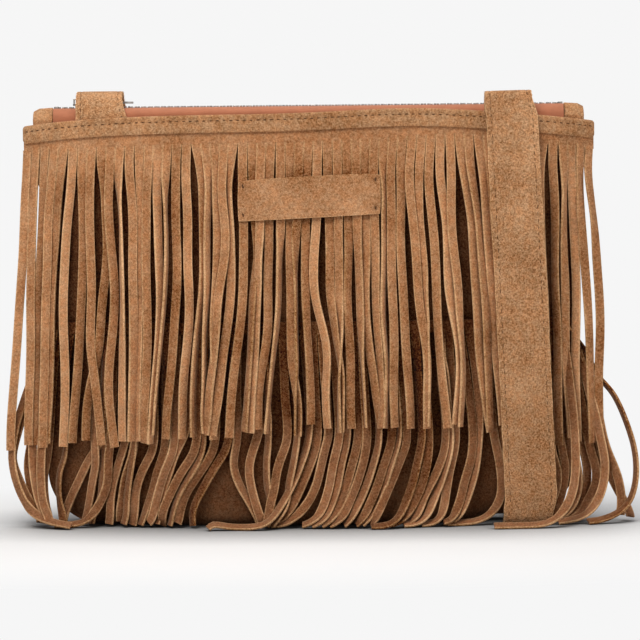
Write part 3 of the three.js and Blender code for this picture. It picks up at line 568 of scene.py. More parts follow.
def fuzz(name, lines, facings, spacing):
    """Fine loose fibres standing off a raw edge."""
    shell = bmesh.new()
    bmesh.ops.create_cone(shell, segments=3, radius1=0.075, radius2=0.02, depth=1.0, cap_ends=False)
    bmesh.ops.translate(shell, vec=(0, 0, 0.35), verts=shell.verts)
    fibre = small_piece("fibre", shell)
    return repeated(name, fibre, lines, facings, spacing, 0.6, 9, material_for("fibre"))


# Materials


def fresh_material(name):
    """An empty material, its tree and the place on the piece that its patterns read."""
    material = bpy.data.materials.new(name)
    material.use_nodes = True
    tree = material.node_tree
    tree.nodes.clear()
    return material, tree, wire(tree, "ShaderNodeTexCoord").outputs["Object"]


def surfaced(material, tree, inputs):
    """Ends a material in one shader with these inputs."""
    shader = wire(tree, "ShaderNodeBsdfPrincipled", inputs)
    wire(tree, "ShaderNodeOutputMaterial", {"Surface": shader.outputs[0]})
    return material


def bumped(tree, height, strength, distance):
    inputs = {"Height": height, "Strength": strength, "Distance": distance}
    return wire(tree, "ShaderNodeBump", inputs).outputs[0]


def noise(tree, place, scale, detail, roughness):
    made = wire(
        tree,
        "ShaderNodeTexNoise",
        {"Vector": place, "Scale": scale, "Detail": detail, "Roughness": roughness},
    )
    return made.outputs[0]


def spread(tree, value, low, high, to_low=0.0, to_high=1.0):
    made = wire(
        tree,
        "ShaderNodeMapRange",
        {"Value": value, "From Min": low, "From Max": high, "To Min": to_low, "To Max": to_high},
    )
    return made.outputs[0]


def colour_mix(tree, share, low, high, blend="MIX"):
    node = wire(tree, "ShaderNodeMix", data_type="RGBA", blend_type=blend)
    for index, value in ((0, share), (6, low), (7, high)):
        if isinstance(value, bpy.types.NodeSocket):
            tree.links.new(value, node.inputs[index])
        else:
            node.inputs[index].default_value = value if index == 0 else (*value, 1.0)
    return node.outputs[2]


def total(tree, *values):
    """The sum of a few sockets or numbers."""
    result = values[0]
    for value in values[1:]:
        result = worked_out(tree, "ADD", result, value)
    return result


def scaled(colour, factor):
    return tuple(min(1.0, c * factor) for c in colour)


def suede(name, colour, edge_colour, grain, depth=0.5, density=950, painted_hollow_shade=0.0):
    """Suede with a mottled nap, paler where it is cut, and with painted shade darkening it deep between
    strands.
    """
    material, tree, place = fresh_material(name)
    patches = noise(tree, place, 48, 3, 0.6)
    mottle = noise(tree, place, density, 2, 0.75)
    fine = noise(tree, place, 2300, 1, 0.6)
    warmth = noise(tree, place, 300, 2, 0.6)
    base = colour_mix(
        tree,
        spread(tree, warmth, 0.38, 0.62),
        tuple(c * k for c, k in zip(colour, (1.02, 0.95, 0.88))),
        tuple(c * k for c, k in zip(colour, (0.98, 1.04, 1.1))),
    )
    edge = wire(tree, "ShaderNodeAttribute", attribute_name="edge").outputs["Fac"]
    trimmed = colour_mix(tree, spread(tree, edge, 0.33, 0.49), base, edge_colour)
    shade = wire(tree, "ShaderNodeAttribute", attribute_name="shade").outputs["Fac"]
    # Painted shade: ambient occlusion darkens the colour in the hollows between strands and against the
    # pouch.
    if painted_hollow_shade:
        sky = wire(tree, "ShaderNodeAmbientOcclusion", {"Distance": 0.009}, samples=6).outputs["AO"]
        shade = total(tree, shade, spread(tree, sky, 0.1, 0.75, -painted_hollow_shade, 0.0))
    lift = total(
        tree,
        shade,
        spread(tree, patches, 0.35, 0.65, -0.15, 0.15),
        spread(tree, mottle, 0.36, 0.64, -0.32 * grain, 0.32 * grain),
        spread(tree, fine, 0.36, 0.64, -0.24 * grain, 0.24 * grain),
    )
    channels = {
        index: total(tree, worked_out(tree, "MULTIPLY", lift, strength), 1.0)
        for index, strength in enumerate((1.0, 1.22, 1.5))
    }
    tone = wire(tree, "ShaderNodeCombineColor", channels).outputs[0]
    inputs = {
        "Base Color": colour_mix(tree, 1.0, trimmed, tone, "MULTIPLY"),
        "Roughness": 0.95,
        "Specular IOR Level": 0.12,
        "Sheen Weight": 0.2,
        "Sheen Roughness": 0.45,
        "Sheen Tint": (0.95, 0.75, 0.55, 1.0),
        "Normal": bumped(tree, total(tree, mottle, fine), depth, 0.0005),
    }
    return surfaced(material, tree, inputs)


def woven(name, colour, pitch, sheen):
    """Woven cloth, its threads along and across the bag."""
    material, tree, place = fresh_material(name)
    density = 2 * math.pi / 20 / (pitch * MM)
    wave = {"Vector": place, "Scale": density, "Distortion": 0.6, "Detail": 1.0}
    warp, weft = (
        wire(tree, "ShaderNodeTexWave", wave, bands_direction=axis).outputs["Fac"] for axis in "XZ"
    )
    threads = worked_out(tree, "MULTIPLY", warp, weft)
    tone = colour_mix(tree, threads, scaled(colour, 0.85), scaled(colour, 1.12))
    fade = noise(tree, place, 160, 3, 0.6)
    inputs = {
        "Base Color": colour_mix(tree, spread(tree, fade, 0.3, 0.7, 0.0, 0.35), tone, scaled(colour, 1.35)),
        "Roughness": 0.85,
        "Specular IOR Level": 0.25,
        "Sheen Weight": sheen,
        "Normal": bumped(tree, threads, 0.4, 0.0003),
    }
    return surfaced(material, tree, inputs)


def worn_metal(name, colour, roughness):
    """Dark plated metal with fine scuffs and brighter rubbed spots."""
    material, tree, place = fresh_material(name)
    scuffs = noise(tree, place, 900, 4, 0.7)
    rubbed = noise(tree, place, 260, 3, 0.6)
    inputs = {
        "Base Color": colour_mix(tree, spread(tree, rubbed, 0.45, 0.75), colour, scaled(colour, 2.1)),
        "Metallic": 1.0,
        "Roughness": spread(tree, scuffs, 0.3, 0.7, roughness * 0.7, roughness * 1.4),
        "Normal": bumped(tree, scuffs, 0.12, 0.0002),
    }
    return surfaced(material, tree, inputs)


def spun(name, colour):
    """Sewing thread and loose fibres."""
    material, tree, place = fresh_material(name)
    twist = spread(tree, noise(tree, place, 2200, 2, 0.6), 0.3, 0.7)
    tone = colour_mix(tree, twist, scaled(colour, 0.7), scaled(colour, 1.25))
    return surfaced(material, tree, {"Base Color": tone, "Roughness": 0.8, "Specular IOR Level": 0.1})


MATERIALS = {}


def material_for(key):
    """The materials, each made when it is first asked for."""
    tones = bpy.context.scene.bag_finishes
    cut = tones.cut_edge
    makers = {
        "strap": lambda: suede("strap_suede", scaled(tones.suede, 0.97), cut, 1.12, 0.8, 1000),
        "upper": lambda: suede("upper_fringe_suede", tones.fringe, cut, 0.78, painted_hollow_shade=0.2),
        # Painted shade: the lower tier takes a darkened, shaded copy of the fringe's colour.
        "lower": lambda: suede("lower_fringe_shaded_suede", tones.lower_fringe, cut, 0.8, painted_hollow_shade=0.4),
        "band": lambda: suede("band_suede", scaled(tones.suede, 0.92), cut, 0.9),
        "patch": lambda: suede("patch_suede", tones.patch, cut, 0.8, 0.4),
        # Painted shade: the pouch takes a darkened, shaded copy of the suede's colour.
        "pouch": lambda: suede("pouch_shaded_suede", tones.pouch, cut, 0.8, painted_hollow_shade=0.4),
        "lining": lambda: woven("lining_cloth", tones.lining, 0.5, 0.05),
        "tape": lambda: woven("zip_tape_weave", tones.tape, 0.6, 0.2),
        "metal": lambda: worn_metal("zip_metal_dark", tones.metal, 0.36),
        "thread": lambda: spun("thread", tones.thread),
        "fibre": lambda: spun("loose_fibres", tones.cut_edge),
    }
    if key not in MATERIALS:
        MATERIALS[key] = makers[key]()
    return MATERIALS[key]


# Fringe

# Where the upper tier parts, at five heights. Each row has a slit between two strands, counted
# from the left, and the middles and widths of the parting there, read off the photo in pixels
PARTING_HEIGHTS = (182.0, 154.0, 119.0, 88.5, 48.0)
READ_PARTINGS = (
    (1, (30, 28, 23.5, 21.5, 17), (0.5, 0.5, 2, 4, 4)),
    (2, (38, 34.5, 32, 30.5, 28), (1, 3.5, 1, 0, 0)),
    (3, (48, 44, 40, 37, 36), (0.5, 0.5, 4, 5, 3)),
    (5, (67, 58, 52, 50, 46), (3, 1.5, 2, 2, 2)),
    (6, (76, 75.5, 73.5, 70, 64), (0.5, 2.5, 2.5, 3, 6)),
    (7, (87, 85.5, 84, 81, 77), (0.5, 1, 1, 2, 2)),
    (8, (93, 95, 95, 91, 88), (2, 0.5, 0.5, 0.5, 1)),
    (9, (103.5, 108, 109, 103, 99), (2, 7, 9, 7, 4)),
    (11, (122, 125, 124.5, 127, 128), (1, 3, 1, 1.5, 2)),
    (13, (145, 146, 145, 140, 134), (0.5, 0.5, 3, 5, 4)),
    (14, (153, 156, 157, 153, 147), (0.5, 2, 2, 1, 1)),
    (16, (170, 169, 168, 165, 160), (0.5, 1, 2.5, 5, 6)),
    (17, (180, 181, 182, 178, 172), (0.5, 1.5, 1.5, 1.5, 2)),
    (18, (195, 194.5, 193.5, 190, 184), (3.5, 1, 6, 6, 9)),
    (20, (212, 213, 210, 204, 199), (1, 2.5, 1, 5, 6)),
    (23, (234, 235, 234, 226, 219), (3, 1, 7, 6, 6)),
    (24, (249, 251, 249, 243, 236), (0.3, 1.5, 2, 3, 4)),
    (26, (263, 262, 258, 255, 251), (0.3, 1, 2, 5, 6)),
    (28, (286, 286, 285.5, 280, 278), (0.3, 0.5, 3.5, 7, 8)),
    (30, (302, 300, 298, 297, 294), (0.3, 0.5, 0.5, 1, 1)),
    (31, (311, 309, 308, 307, 306), (0.3, 1, 1, 3, 6)),
    (32, (322, 323, 321, 329, 326), (0.3, 1.5, 5, 7, 9)),
    (34, (342, 343, 342, 341, 341), (0.3, 1, 1, 1, 1)),
    (35, (351, 352, 350, 353, 359), (0.3, 0.5, 4, 3, 6)),
    (37, (369, 369, 370.5, 372, 373), (0.3, 0.5, 4.5, 3, 2)),
    (39, (384, 385, 384.5, 387, 388), (2, 2, 2, 3, 8)),
    (41, (404, 406, 405, 411, 411), (3, 2, 3, 8, 12)),
    (43, (424, 425, 429, 431, 432), (0.5, 2, 1, 2, 4)),
    (44, (434, 440, 441, 446, 446), (0.5, 1, 1, 5, 1)),
    (46, (457, 463, 465, 466, 474), (4, 12, 13, 15, 27)),
    (48, (475, 482, 485, 488, 491), (6, 1, 1, 1, 1)),
    (58, (566, 567, 569, 568, 568), (1, 1, 1.5, 2, 2)),
)
# The same for slits where strands overlap, set in millimetres
SET_PARTINGS = (
    (56, (119.6, 120.0, 120.8, 121.7, 121.7), (3.0, 3.6, 2.6, 1.5, 0.5)),
    (57, (126.4, 126.4, 126.2, 126.6, 127.8), (4.2, 3.4, 2.2, 1.0, 0.5)),
    (59, (134.8, 135.9, 137.4, 138.9, 140.9), (0.5, -0.6, 1.6, 2.5, 3.5)),
    (60, (138.9, 140.9, 143.5, 144.5, 145.0), (-0.8, 1.6, 1.5, 0.8, 0.3)),
)
# The tier's two sides at those heights, in millimetres and in pixels
LEFT_SIDE = (-145.6, -147.6, -150.0, -153.0, -158.5)
RIGHT_SIDE_READ = (593, 596, 603.7, 604.8, 604.8)

# Strands of the lower tier from left to right, read off two enlarged crops of the photo: how far
# each is turned to show its edge, in degrees, and its course as columns and rows of the crop
HANGING_LEFT = (
    (10, ((26, 600), (36, 680), (70, 780), (128, 865), (180, 905))),
    (0, ((100, 620), (104, 720), (132, 835), (178, 920))),
    (-5, ((206, 600), (186, 700), (180, 800), (190, 880), (212, 940))),
    (60, ((290, 600), (262, 680), (248, 780), (258, 860), (290, 930))),
    (20, ((500, 450), (440, 600), (370, 720), (310, 840), (280, 925))),
    (25, ((450, 620), (432, 760), (402, 870), (385, 935))),
    (50, ((485, 600), (478, 740), (462, 830), (425, 915))),
    (-20, ((525, 450), (518, 620), (515, 740), (480, 840), (410, 920), (330, 950), (245, 950))),
    (20, ((655, 400), (590, 560), (550, 680), (528, 790), (518, 945))),
    (-25, ((655, 550), (605, 690), (575, 800), (562, 880), (570, 945))),
    (55, ((630, 620), (615, 740), (600, 840), (590, 940))),
    (10, ((740, 550), (690, 660), (655, 770), (640, 860), (633, 945))),
    (35, ((800, 560), (760, 680), (735, 760), (700, 870), (672, 945))),
    (-10, ((850, 540), (800, 680), (762, 800), (735, 880), (722, 945))),
    (15, ((905, 450), (850, 580), (800, 720), (765, 830), (745, 940))),
    (10, ((955, 550), (880, 690), (812, 820), (780, 890), (775, 950))),
    (45, ((985, 560), (930, 680), (868, 790), (835, 870), (820, 945))),
    (-15, ((1045, 550), (968, 690), (900, 790), (868, 870), (858, 945))),
    (45, ((1110, 530), (1040, 660), (960, 800), (922, 880), (930, 945))),
    (-30, ((1145, 530), (1130, 640), (1160, 750), (1215, 850), (1262, 930))),
    (10, ((1285, 380), (1245, 520), (1212, 650), (1215, 760), (1245, 860), (1275, 940))),
    (50, ((1308, 540), (1292, 640), (1308, 740), (1330, 860), (1345, 940))),
    (5, ((1405, 500), (1355, 640), (1322, 760), (1300, 940))),
    (60, ((1455, 490), (1430, 620), (1400, 760), (1380, 860), (1330, 940))),
    (40, ((1512, 490), (1475, 640), (1405, 800), (1310, 920), (1220, 968), (1110, 968), (1018, 918))),
    (10, ((1550, 520), (1515, 650), (1465, 770), (1410, 870), (1350, 940), (1290, 960))),
)
HANGING_RIGHT = (
    (-10, ((30, 500), (10, 560), (-30, 760), (-90, 860), (-170, 935), (-240, 962))),
    (5, ((85, 500), (62, 640), (30, 800), (-20, 900), (-100, 955))),
    (30, ((130, 505), (102, 640), (70, 780), (20, 900), (-50, 960))),
    (5, ((190, 505), (152, 660), (112, 790), (60, 900), (0, 960))),
    (-10, ((232, 510), (208, 640), (160, 780), (95, 900), (40, 962))),
    (40, ((282, 515), (252, 650), (202, 790), (150, 900), (110, 962))),
    (0, ((350, 520), (312, 650), (262, 790), (212, 900), (165, 964))),
    (50, ((385, 500), (352, 620), (302, 770), (245, 900), (195, 968))),
    (-15, ((425, 530), (392, 620), (342, 740), (292, 850), (235, 965))),
    (35, ((500, 500), (482, 620), (442, 780), (392, 890), (320, 955), (240, 972))),
    (15, ((530, 520), (515, 650), (488, 770), (440, 870), (385, 935), (330, 965))),
    (55, ((640, 560), (605, 700), (562, 820), (520, 900), (460, 950), (400, 966))),
    (30, ((622, 530), (585, 640), (545, 730), (505, 820), (470, 900), (410, 965))),
    (0, ((660, 535), (642, 650), (622, 780), (602, 880), (560, 945), (490, 968))),
    (-10, ((720, 200), (745, 450), (730, 620), (700, 750), (672, 850), (642, 940), (595, 968))),
    (35, ((760, 200), (785, 400), (775, 560), (750, 720), (702, 860), (655, 940), (600, 968))),
    (0, ((850, 500), (880, 650), (893, 790), (868, 870), (812, 928), (725, 962), (620, 972))),
    (0, ((890, 500), (895, 700), (890, 850))),
    (0, ((935, 500), (940, 700), (940, 850))),
    (0, ((985, 500), (985, 700), (985, 850))),
    (0, ((1035, 500), (1040, 700), (1040, 850))),
    (0, ((1085, 500), (1095, 700), (1100, 820))),
    (20, ((1150, 600), (1172, 700), (1172, 800), (1150, 870), (1128, 930))),
    (-15, ((1190, 590), (1215, 690), (1208, 790), (1175, 890), (1135, 958))),
    (10, ((1235, 600), (1262, 700), (1262, 790), (1230, 880), (1165, 962))),
    (50, ((1262, 600), (1282, 720), (1278, 820), (1240, 905), (1185, 964))),
    (-20, ((1300, 600), (1320, 730), (1305, 840), (1250, 925), (1195, 966))),
    (10, ((1335, 600), (1368, 700), (1366, 790), (1322, 875), (1255, 940), (1205, 966))),
    (-35, ((1360, 560), (1388, 680), (1386, 780), (1345, 875), (1280, 945), (1225, 966))),
    (20, ((1385, 560), (1405, 640), (1445, 740), (1495, 850), (1532, 930))),
)
# Those of them that sweep over their neighbours on the ground
FOREMOST = (7, 24, 35)

# Strands beside or before the rest, in millimetres: the turn in degrees, and the whole middle
# as x, forward of the middle plane, height
STRAYS = (
    (10, ((128, 8, 98), (133, 14, 52), (132, 26, 20), (122, 35, 4), (106, 37, 1.2), (91, 38, 1.0))),
    (
        65,
        (
            (131, 1, 98),
            (140, 1, 84),
            (146, 2, 73),
            (153, 6, 66),
            (159, 10, 53),
            (164, 13, 36),
            (164, 16, 20),
            (159, 19, 8),
            (148, 22, 2.5),
            (139, 24, 1.2),
        ),
    ),
    (15, ((132, 2, 97), (143, 4, 70), (149, 8, 40), (155, 12, 24), (157, 15, 12), (156, 18, 4))),
    (
        20,
        (
            (132, 3, 97),
            (141, 5, 70),
            (147, 9, 42),
            (149, 13, 28),
            (146, 17, 14),
            (138, 21, 4),
            (124, 24, 1.5),
        ),
    ),
    (
        35,
        (
            (-132, 2, 98),
            (-142, 2, 76),
            (-151, 4, 50),
            (-153, 7, 33),
            (-148, 12, 16),
            (-139, 18, 6),
            (-122, 24, 2),
        ),
    ),
    (-15, ((-131, 3, 98), (-138, 4, 72), (-142, 6, 48), (-142, 9, 30), (-139, 13, 14), (-134, 17, 3))),
    (10, ((-131, 5, 98), (-135, 6, 72), (-137, 8, 48), (-138, 11, 30), (-137, 15, 14), (-133, 19, 3))),
)


def photo_x(column):
    """Where a column of the photo lies across the bag."""
    return round((column - MIDDLE_COLUMN) * PIXEL, 1)


def read_partings():
    """All partings of the upper tier from left to right, in millimetres."""
    read = [
        (slit, [photo_x(column) for column in middles], [round(w * PIXEL, 1) for w in widths])
        for slit, middles, widths in READ_PARTINGS
    ]
    return sorted([*read, *SET_PARTINGS], key=lambda row: row[0])


def read_spot(crop_start, crop_column, crop_row):
    """Where a spot of a crop lies: x and height, to the millimetre, and finer near the ground."""
    column = crop_start + crop_column / CROP_ENLARGED
    row = CROP_TOP + crop_row / CROP_ENLARGED
    x = round(FRONT_MIDDLE + (column - PHOTO_MIDDLE) * FRONT_PIXEL, 1)
    lowest = STRAND + GROUND
    z = round(max(lowest, (FRONT_GROUND_ROW - row) * FRONT_PIXEL), 1)
    return round(x), round(z) if z > 3 else z


PARTINGS = read_partings()
RIGHT_SIDE = [photo_x(column) for column in RIGHT_SIDE_READ]
HANGING = [
    (turn, [read_spot(start, *spot) for spot in course])
    for start, rows in ((LEFT_CROP_START, HANGING_LEFT), (RIGHT_CROP_START, HANGING_RIGHT))
    for turn, course in rows
]


def wander(rng, places, waves, reach):
    """A slow random swing along a line, about as far as reach at its largest."""
    swing = np.zeros(len(places))
    for wave in range(1, waves + 1):
        swing += rng.normal(0, 1 / wave) * np.sin(np.pi * wave * places + rng.uniform(0, 2 * np.pi))
    return reach * swing / 1.6


def blur(rows, times):
    """Smooths along the first axis, ends kept."""
    for _ in range(times):
        inner = (rows[:-2] + 2 * rows[1:-1] + rows[2:]) / 4
        rows = np.concatenate([rows[:1], inner, rows[-1:]])
    return rows


def unit(vectors):
    return vectors / np.maximum(np.linalg.norm(vectors, axis=-1, keepdims=True), 1e-9)


def through(points, count):
    """A smooth line through a few points."""
    points = np.array(points, float)
    padded = np.concatenate([[2 * points[0] - points[1]], points, [2 * points[-1] - points[-2]]])
    made = []
    spans = len(points) - 1
    for t in np.linspace(0, spans, count):
        k = min(int(t), spans - 1)
        u = t - k
        a, b, c, d = padded[k : k + 4]
        square = (2 * a - 5 * b + 4 * c - d) * u**2
        cube = (3 * b - a - 3 * c + d) * u**3
        made.append(0.5 * (2 * b + (c - a) * u + square + cube))
    return np.array(made)


def even(line, count):
    """The same line with evenly spaced points."""
    line = np.asarray(line, float)
    gone = np.concatenate([[0], np.cumsum(np.linalg.norm(np.diff(line, axis=0), axis=1))])
    places = np.linspace(0, gone[-1], count)
    return np.stack([np.interp(places, gone, line[:, k]) for k in range(3)], axis=1)


def faced(lines, turns):
    """The way each strand's face looks: forward, turned about its own line."""
    ahead = unit(np.gradient(lines, axis=1))
    front = np.broadcast_to(np.array([0.0, -1.0, 0.0]), lines.shape)
    front = unit(front - ahead * (front * ahead).sum(-1, keepdims=True))
    beside = np.cross(ahead, front)
    return front * np.cos(turns)[..., None] + beside * np.sin(turns)[..., None]


def strap_course():
    """Heights up the hanging strap, its middle there and how far forward its back is."""
    hanging = [(at.z, at.x, at.y) for at, _, _ in strap_walk() if at.y < -10 and 12 < at.z < 212]
    hanging = np.array(sorted(hanging))
    return hanging[:, 0], hanging[:, 1], -hanging[:, 2] - STRAP_THICKNESS / 2


def lid(points, course):
    """How far forward a strand may stand: not into the strap or the patch."""
    x, z = points[..., 0], points[..., 2]
    heights, middles, backs = course
    free, strap_margin, strap_foot = 99.0, 2.6, 6
    behind = np.abs(x - np.interp(z, heights, middles)) < STRAP_WIDTH / 2 + strap_margin
    limit = np.where(behind & (z > strap_foot), np.interp(z, heights, backs) - 0.2, free)
    half, middle, slope, reach = 39, 165.5, 0.044, 13.5
    patched = (np.abs(x) < half) & (np.abs(z - middle - slope * x) < reach)
    return np.where(patched, upper_face(0.0, z) + 0.1, limit)


def settled(lines, turns, slack, width, layers):
    """Moves strands apart where they would run into each other, the pouch or the ground.

    slack is how far each point stays off the pouch, layers which of two strands goes in front.
    """
    rounds, renewed, neighbour, beside, gap, eased = 28, 9, 3.6, 2.4, 0.2, 0.4
    count, rows = lines.shape[:2]
    owner = np.repeat(np.arange(count), rows * 3)
    row = np.tile(np.repeat(np.arange(rows), 3), count)
    course = strap_course()
    offsets = np.array([-0.36, 0.0, 0.36]) * width
    loose = np.clip((np.arange(rows) - 1) / 4, 0, 1)[None, :, None]
    half = STRAND / 2
    for turn_no in range(rounds):
        facing = faced(lines, turns)
        ahead = unit(np.gradient(lines, axis=1))
        across = np.cross(ahead, facing)
        aside = across[:, :, None, :] * offsets[None, None, :, None]
        spots = (lines[:, :, None, :] + aside).reshape(-1, 3)
        along = np.repeat(ahead.reshape(-1, 3), 3, axis=0)
        if turn_no % renewed == 0:
            tree = kdtree.KDTree(len(spots))
            for index, spot in enumerate(spots):
                tree.insert(spot, index)
            tree.balance()
            pairs = [
                (index, other)
                for index, spot in enumerate(spots)
                for _, other, _ in tree.find_range(spot, neighbour)
                if owner[other] > owner[index]
            ]
            first, second = np.array(pairs).T
        apart = spots[first] - spots[second]
        slide = (apart * along[first]).sum(1)
        apart = apart - along[first] * slide[:, None]
        distance = np.linalg.norm(apart, axis=1)
        overlap = np.where(np.abs(slide) < beside, np.clip(STRAND + gap - distance, 0, None), 0)
        bias = np.sign(layers[owner[first]] - layers[owner[second]]) * 0.5
        push = apart * (0.5, 1.0, 0.5)
        push[:, 1] -= bias
        push = unit(push) * (overlap * eased)[:, None]
        moved = np.zeros((count, rows, 3))
        hits = np.zeros((count, rows, 1))
        for side, sign in ((first, 1), (second, -1)):
            np.add.at(moved, (owner[side], row[side]), push * sign)
            np.add.at(hits, (owner[side], row[side]), (overlap > 0)[:, None].astype(float))
        moved = moved / np.maximum(hits, 1) * loose
        moved = np.stack([blur(strand, 5) for strand in moved])
        lines = lines + moved
        reach = np.abs(across[..., 1]) * width / 2
        face = pouch_depth(lines[..., 0], np.maximum(lines[..., 2], 0))
        least = face + slack + half + reach * 0.8
        most = np.maximum(lid(lines, course) - half, least)
        lines[..., 1] = -np.clip(-lines[..., 1], least, most)
        low = GROUND + half + np.abs(across[..., 2]) * width / 2 * 0.85
        lines[..., 2] = np.maximum(lines[..., 2], np.where(lines[..., 2] < 12, low, 0))
    return np.stack([blur(strand, 5) for strand in lines])


def upper_places(count, pitch, base, slit):
    """Where the upper strands hang at the table's heights, and the room that each has."""
    places, rooms = [base], [np.full(count, pitch)]
    slits = [0, *(parting[0] for parting in PARTINGS), count]
    for k in range(len(PARTING_HEIGHTS)):
        middles = [LEFT_SIDE[k], *(parting[1][k] for parting in PARTINGS), RIGHT_SIDE[k]]
        widths = [0.0, *(parting[2][k] for parting in PARTINGS), 0.0]
        row, room = np.zeros(count), np.zeros(count)
        for n in range(len(slits) - 1):
            low = middles[n] + widths[n] / 2
            high = middles[n + 1] - widths[n + 1] / 2
            members = np.arange(slits[n], slits[n + 1])
            room[members] = max(0.8, (high - low) / len(members))
            row[members] = low + (high - low) * (np.arange(len(members)) + 0.5) / len(members)
        places.append(row)
        rooms.append(room)
    places.append(places[-1])
    rooms.append(rooms[-1])
    heights = np.array((slit, *PARTING_HEIGHTS, 20.0))
    return heights[::-1], np.array(places)[::-1], np.array(rooms)[::-1]


def upper_strands(sizes, rng):
    """The lines of the upper tier."""
    count, rows = UPPER_COUNT, 44
    pitch = BAG_WIDTH / count
    width = sizes.strand_width
    base = (np.arange(count) + 0.5 - count / 2) * pitch
    slit = upper_cut(base) + rng.normal(0, 0.6, count)
    ends = (np.abs(base) / (BAG_WIDTH / 2)) ** 1.5
    length = sizes.upper_length + 10 * ends - arch_drop(base) + rng.normal(0, 1.2, count)
    heights, places, rooms = upper_places(count, pitch, base, slit.mean())
    along = np.linspace(0, 1, rows)
    drops = along[None, :] * length[:, None]
    levels = slit[:, None] - drops
    lines, turns = np.zeros((count, rows, 3)), np.zeros((count, rows))
    rounding = np.arctan((pouch_depth(base + 1, slit) - pouch_depth(base - 1, slit)) / 2)
    rounding = np.clip(rounding, -0.7, 0.7)[:, None] * (1 - smooth(drops / 60))
    under_patch, beside_strap, leftmost = 38, (88, 117), 4
    for i in range(count):
        patched = abs(base[i]) < under_patch
        calm = beside_strap[0] < base[i] < beside_strap[1] or i < leftmost
        begins = smooth((drops[i] - (34 if patched else 2)) / 24)
        room = np.interp(levels[i], heights, rooms[:, i])
        squeezed = np.arccos(np.clip(room / width, 0.35, 1.0))
        side = rng.choice([-1, 1])
        twist = wander(rng, along, 4, 0.3) + side * rng.uniform(0.05, 0.3)
        if rng.uniform() < sizes.twisted:
            turned = side * rng.uniform(0.4, 1.0)
            twist = twist + turned * smooth((along - rng.uniform(0.02, 0.6)) / 0.2)
        turns[i] = (0.25 if calm else 1.0) * (side * 0.5 * squeezed + twist) * begins
        turns[i] += rounding[i]
        x = blur(np.interp(levels[i], heights, places[:, i]), 3)
        loose = 0.3 if calm else rng.choice([1.1, 2.4], p=[0.6, 0.4])
        x = x + wander(rng, along, 6, loose) * begins
        if not calm:
            x = x + rng.normal(0, 2.2) * smooth((along - 0.55) / 0.45)
        lines[i, :, 0], lines[i, :, 2] = x, levels[i]
    slack = np.interp(drops, *UPPER_SLACK) + 0.1
    slack[:, 0] = 0.25
    layers = rng.permutation(count) / count + (np.arange(count) % 2)
    proud = 1.3 * (np.arange(count) % 2)[:, None] * smooth(drops / 25)
    lines[..., 1] = -(pouch_depth(lines[..., 0], lines[..., 2]) + slack + STRAND / 2 + proud)
    lines = settled(lines, turns, slack, width, layers)
    above = lines[:, :1] + (0, 0.3, 2.0)
    lines = np.concatenate([above, lines], axis=1)
    turns = np.concatenate([turns[:, :1], turns], axis=1)
    closed = (np.abs(base) < under_patch)[:, None] & (lines[..., 2] > 155)
    begun = smooth(np.arange(lines.shape[1]) / 5)
    wide = mix(pitch / width, 1.0, np.where(closed, 0.0, begun))
    return lines, turns, wide


def lower_strands(sizes, rng):
    """The lines of the lower tier, most of which end on the ground."""
    rows, top = 50, LOWER_TOP - LOWER_HEADER
    pitch = BODY_WIDTH / len(HANGING)
    along = np.linspace(0, 1, rows)
    lines, turns = [], []
    for k, (turn, course) in enumerate(HANGING):
        even_x = (k + 0.5 - len(HANGING) / 2) * pitch
        x0 = mix(even_x, np.clip(course[0][0] + 2, -132, 132), 0.75)
        halfway = (mix(x0, course[0][0], 0.55), mix(top, course[0][1], 0.5))
        path = through(((x0, top), halfway, *course), rows * 2)
        depth = pouch_depth(path[:, 0], np.maximum(path[:, 1], 0))
        depth = depth + np.interp(path[:, 1], (0, 20, top), (4.5, 3.0, 0.4))
        forward = 12.0 if k in FOREMOST else 3.0 + 5.0 * smooth((course[-1][0] + 30) / 40)
        depth = depth + forward * smooth((14 - path[:, 1]) / 12)
        line = np.stack([path[:, 0], -(depth + STRAND / 2), path[:, 1]], axis=1)
        if 1.6 < path[-1, 1] < 9:
            line = np.concatenate([line, [(line[-1, 0] - 0.5, line[-1, 1] - 1.6, 1.4)]])
        line = even(line, rows)
        swing = wander(rng, along, 4, 0.6)
        line[:, 0] += swing * smooth(along / 0.3) * smooth((line[:, 2] - 4) / 12)
        lines.append(line)
        turns.append((math.radians(turn) + wander(rng, along, 3, 0.25)) * smooth(along / 0.12))
    for turn, stray in STRAYS:
        middle = through(stray, rows * 2)
        middle[:, 1] *= -1
        lines.append(even(middle, rows))
        turns.append(np.full(rows, math.radians(turn)))
    lines, turns = np.array(lines), np.array(turns)
    run = lines[:, -1, 0] - lines[:, -8, 0]
    grounded = np.clip(np.abs(run) / 8, 0, 1) * (lines[:, -1, 2] < 8)
    lying = smooth((14 - lines[..., 2]) / 12) * grounded[:, None]
    turns = mix(turns, np.where(run < 0, 1.1, -1.0)[:, None], lying)
    slack = np.interp(lines[..., 2], (0, 20, 45, 74, top), (1.2, 1.6, 1.6, 0.9, 0.42))
    layers = rng.permutation(len(lines)) / len(lines)
    layers[list(FOREMOST)] += 1
    lines = settled(lines, turns, slack, sizes.strand_width, layers)
    above = lines[:, :1] + (0, 0.3, 2.0)
    lines = np.concatenate([above, lines], axis=1)
    turns = np.concatenate([turns[:, :1] * 0, turns], axis=1)
    return lines, turns, np.ones(turns.shape)


def painted_tier_shade(heights):
    """Painted shade: how much darker a surface is coloured where the upper tier hangs over it."""
    return np.interp(heights, (40, 70, 96), (0.0, -0.3, -0.42))


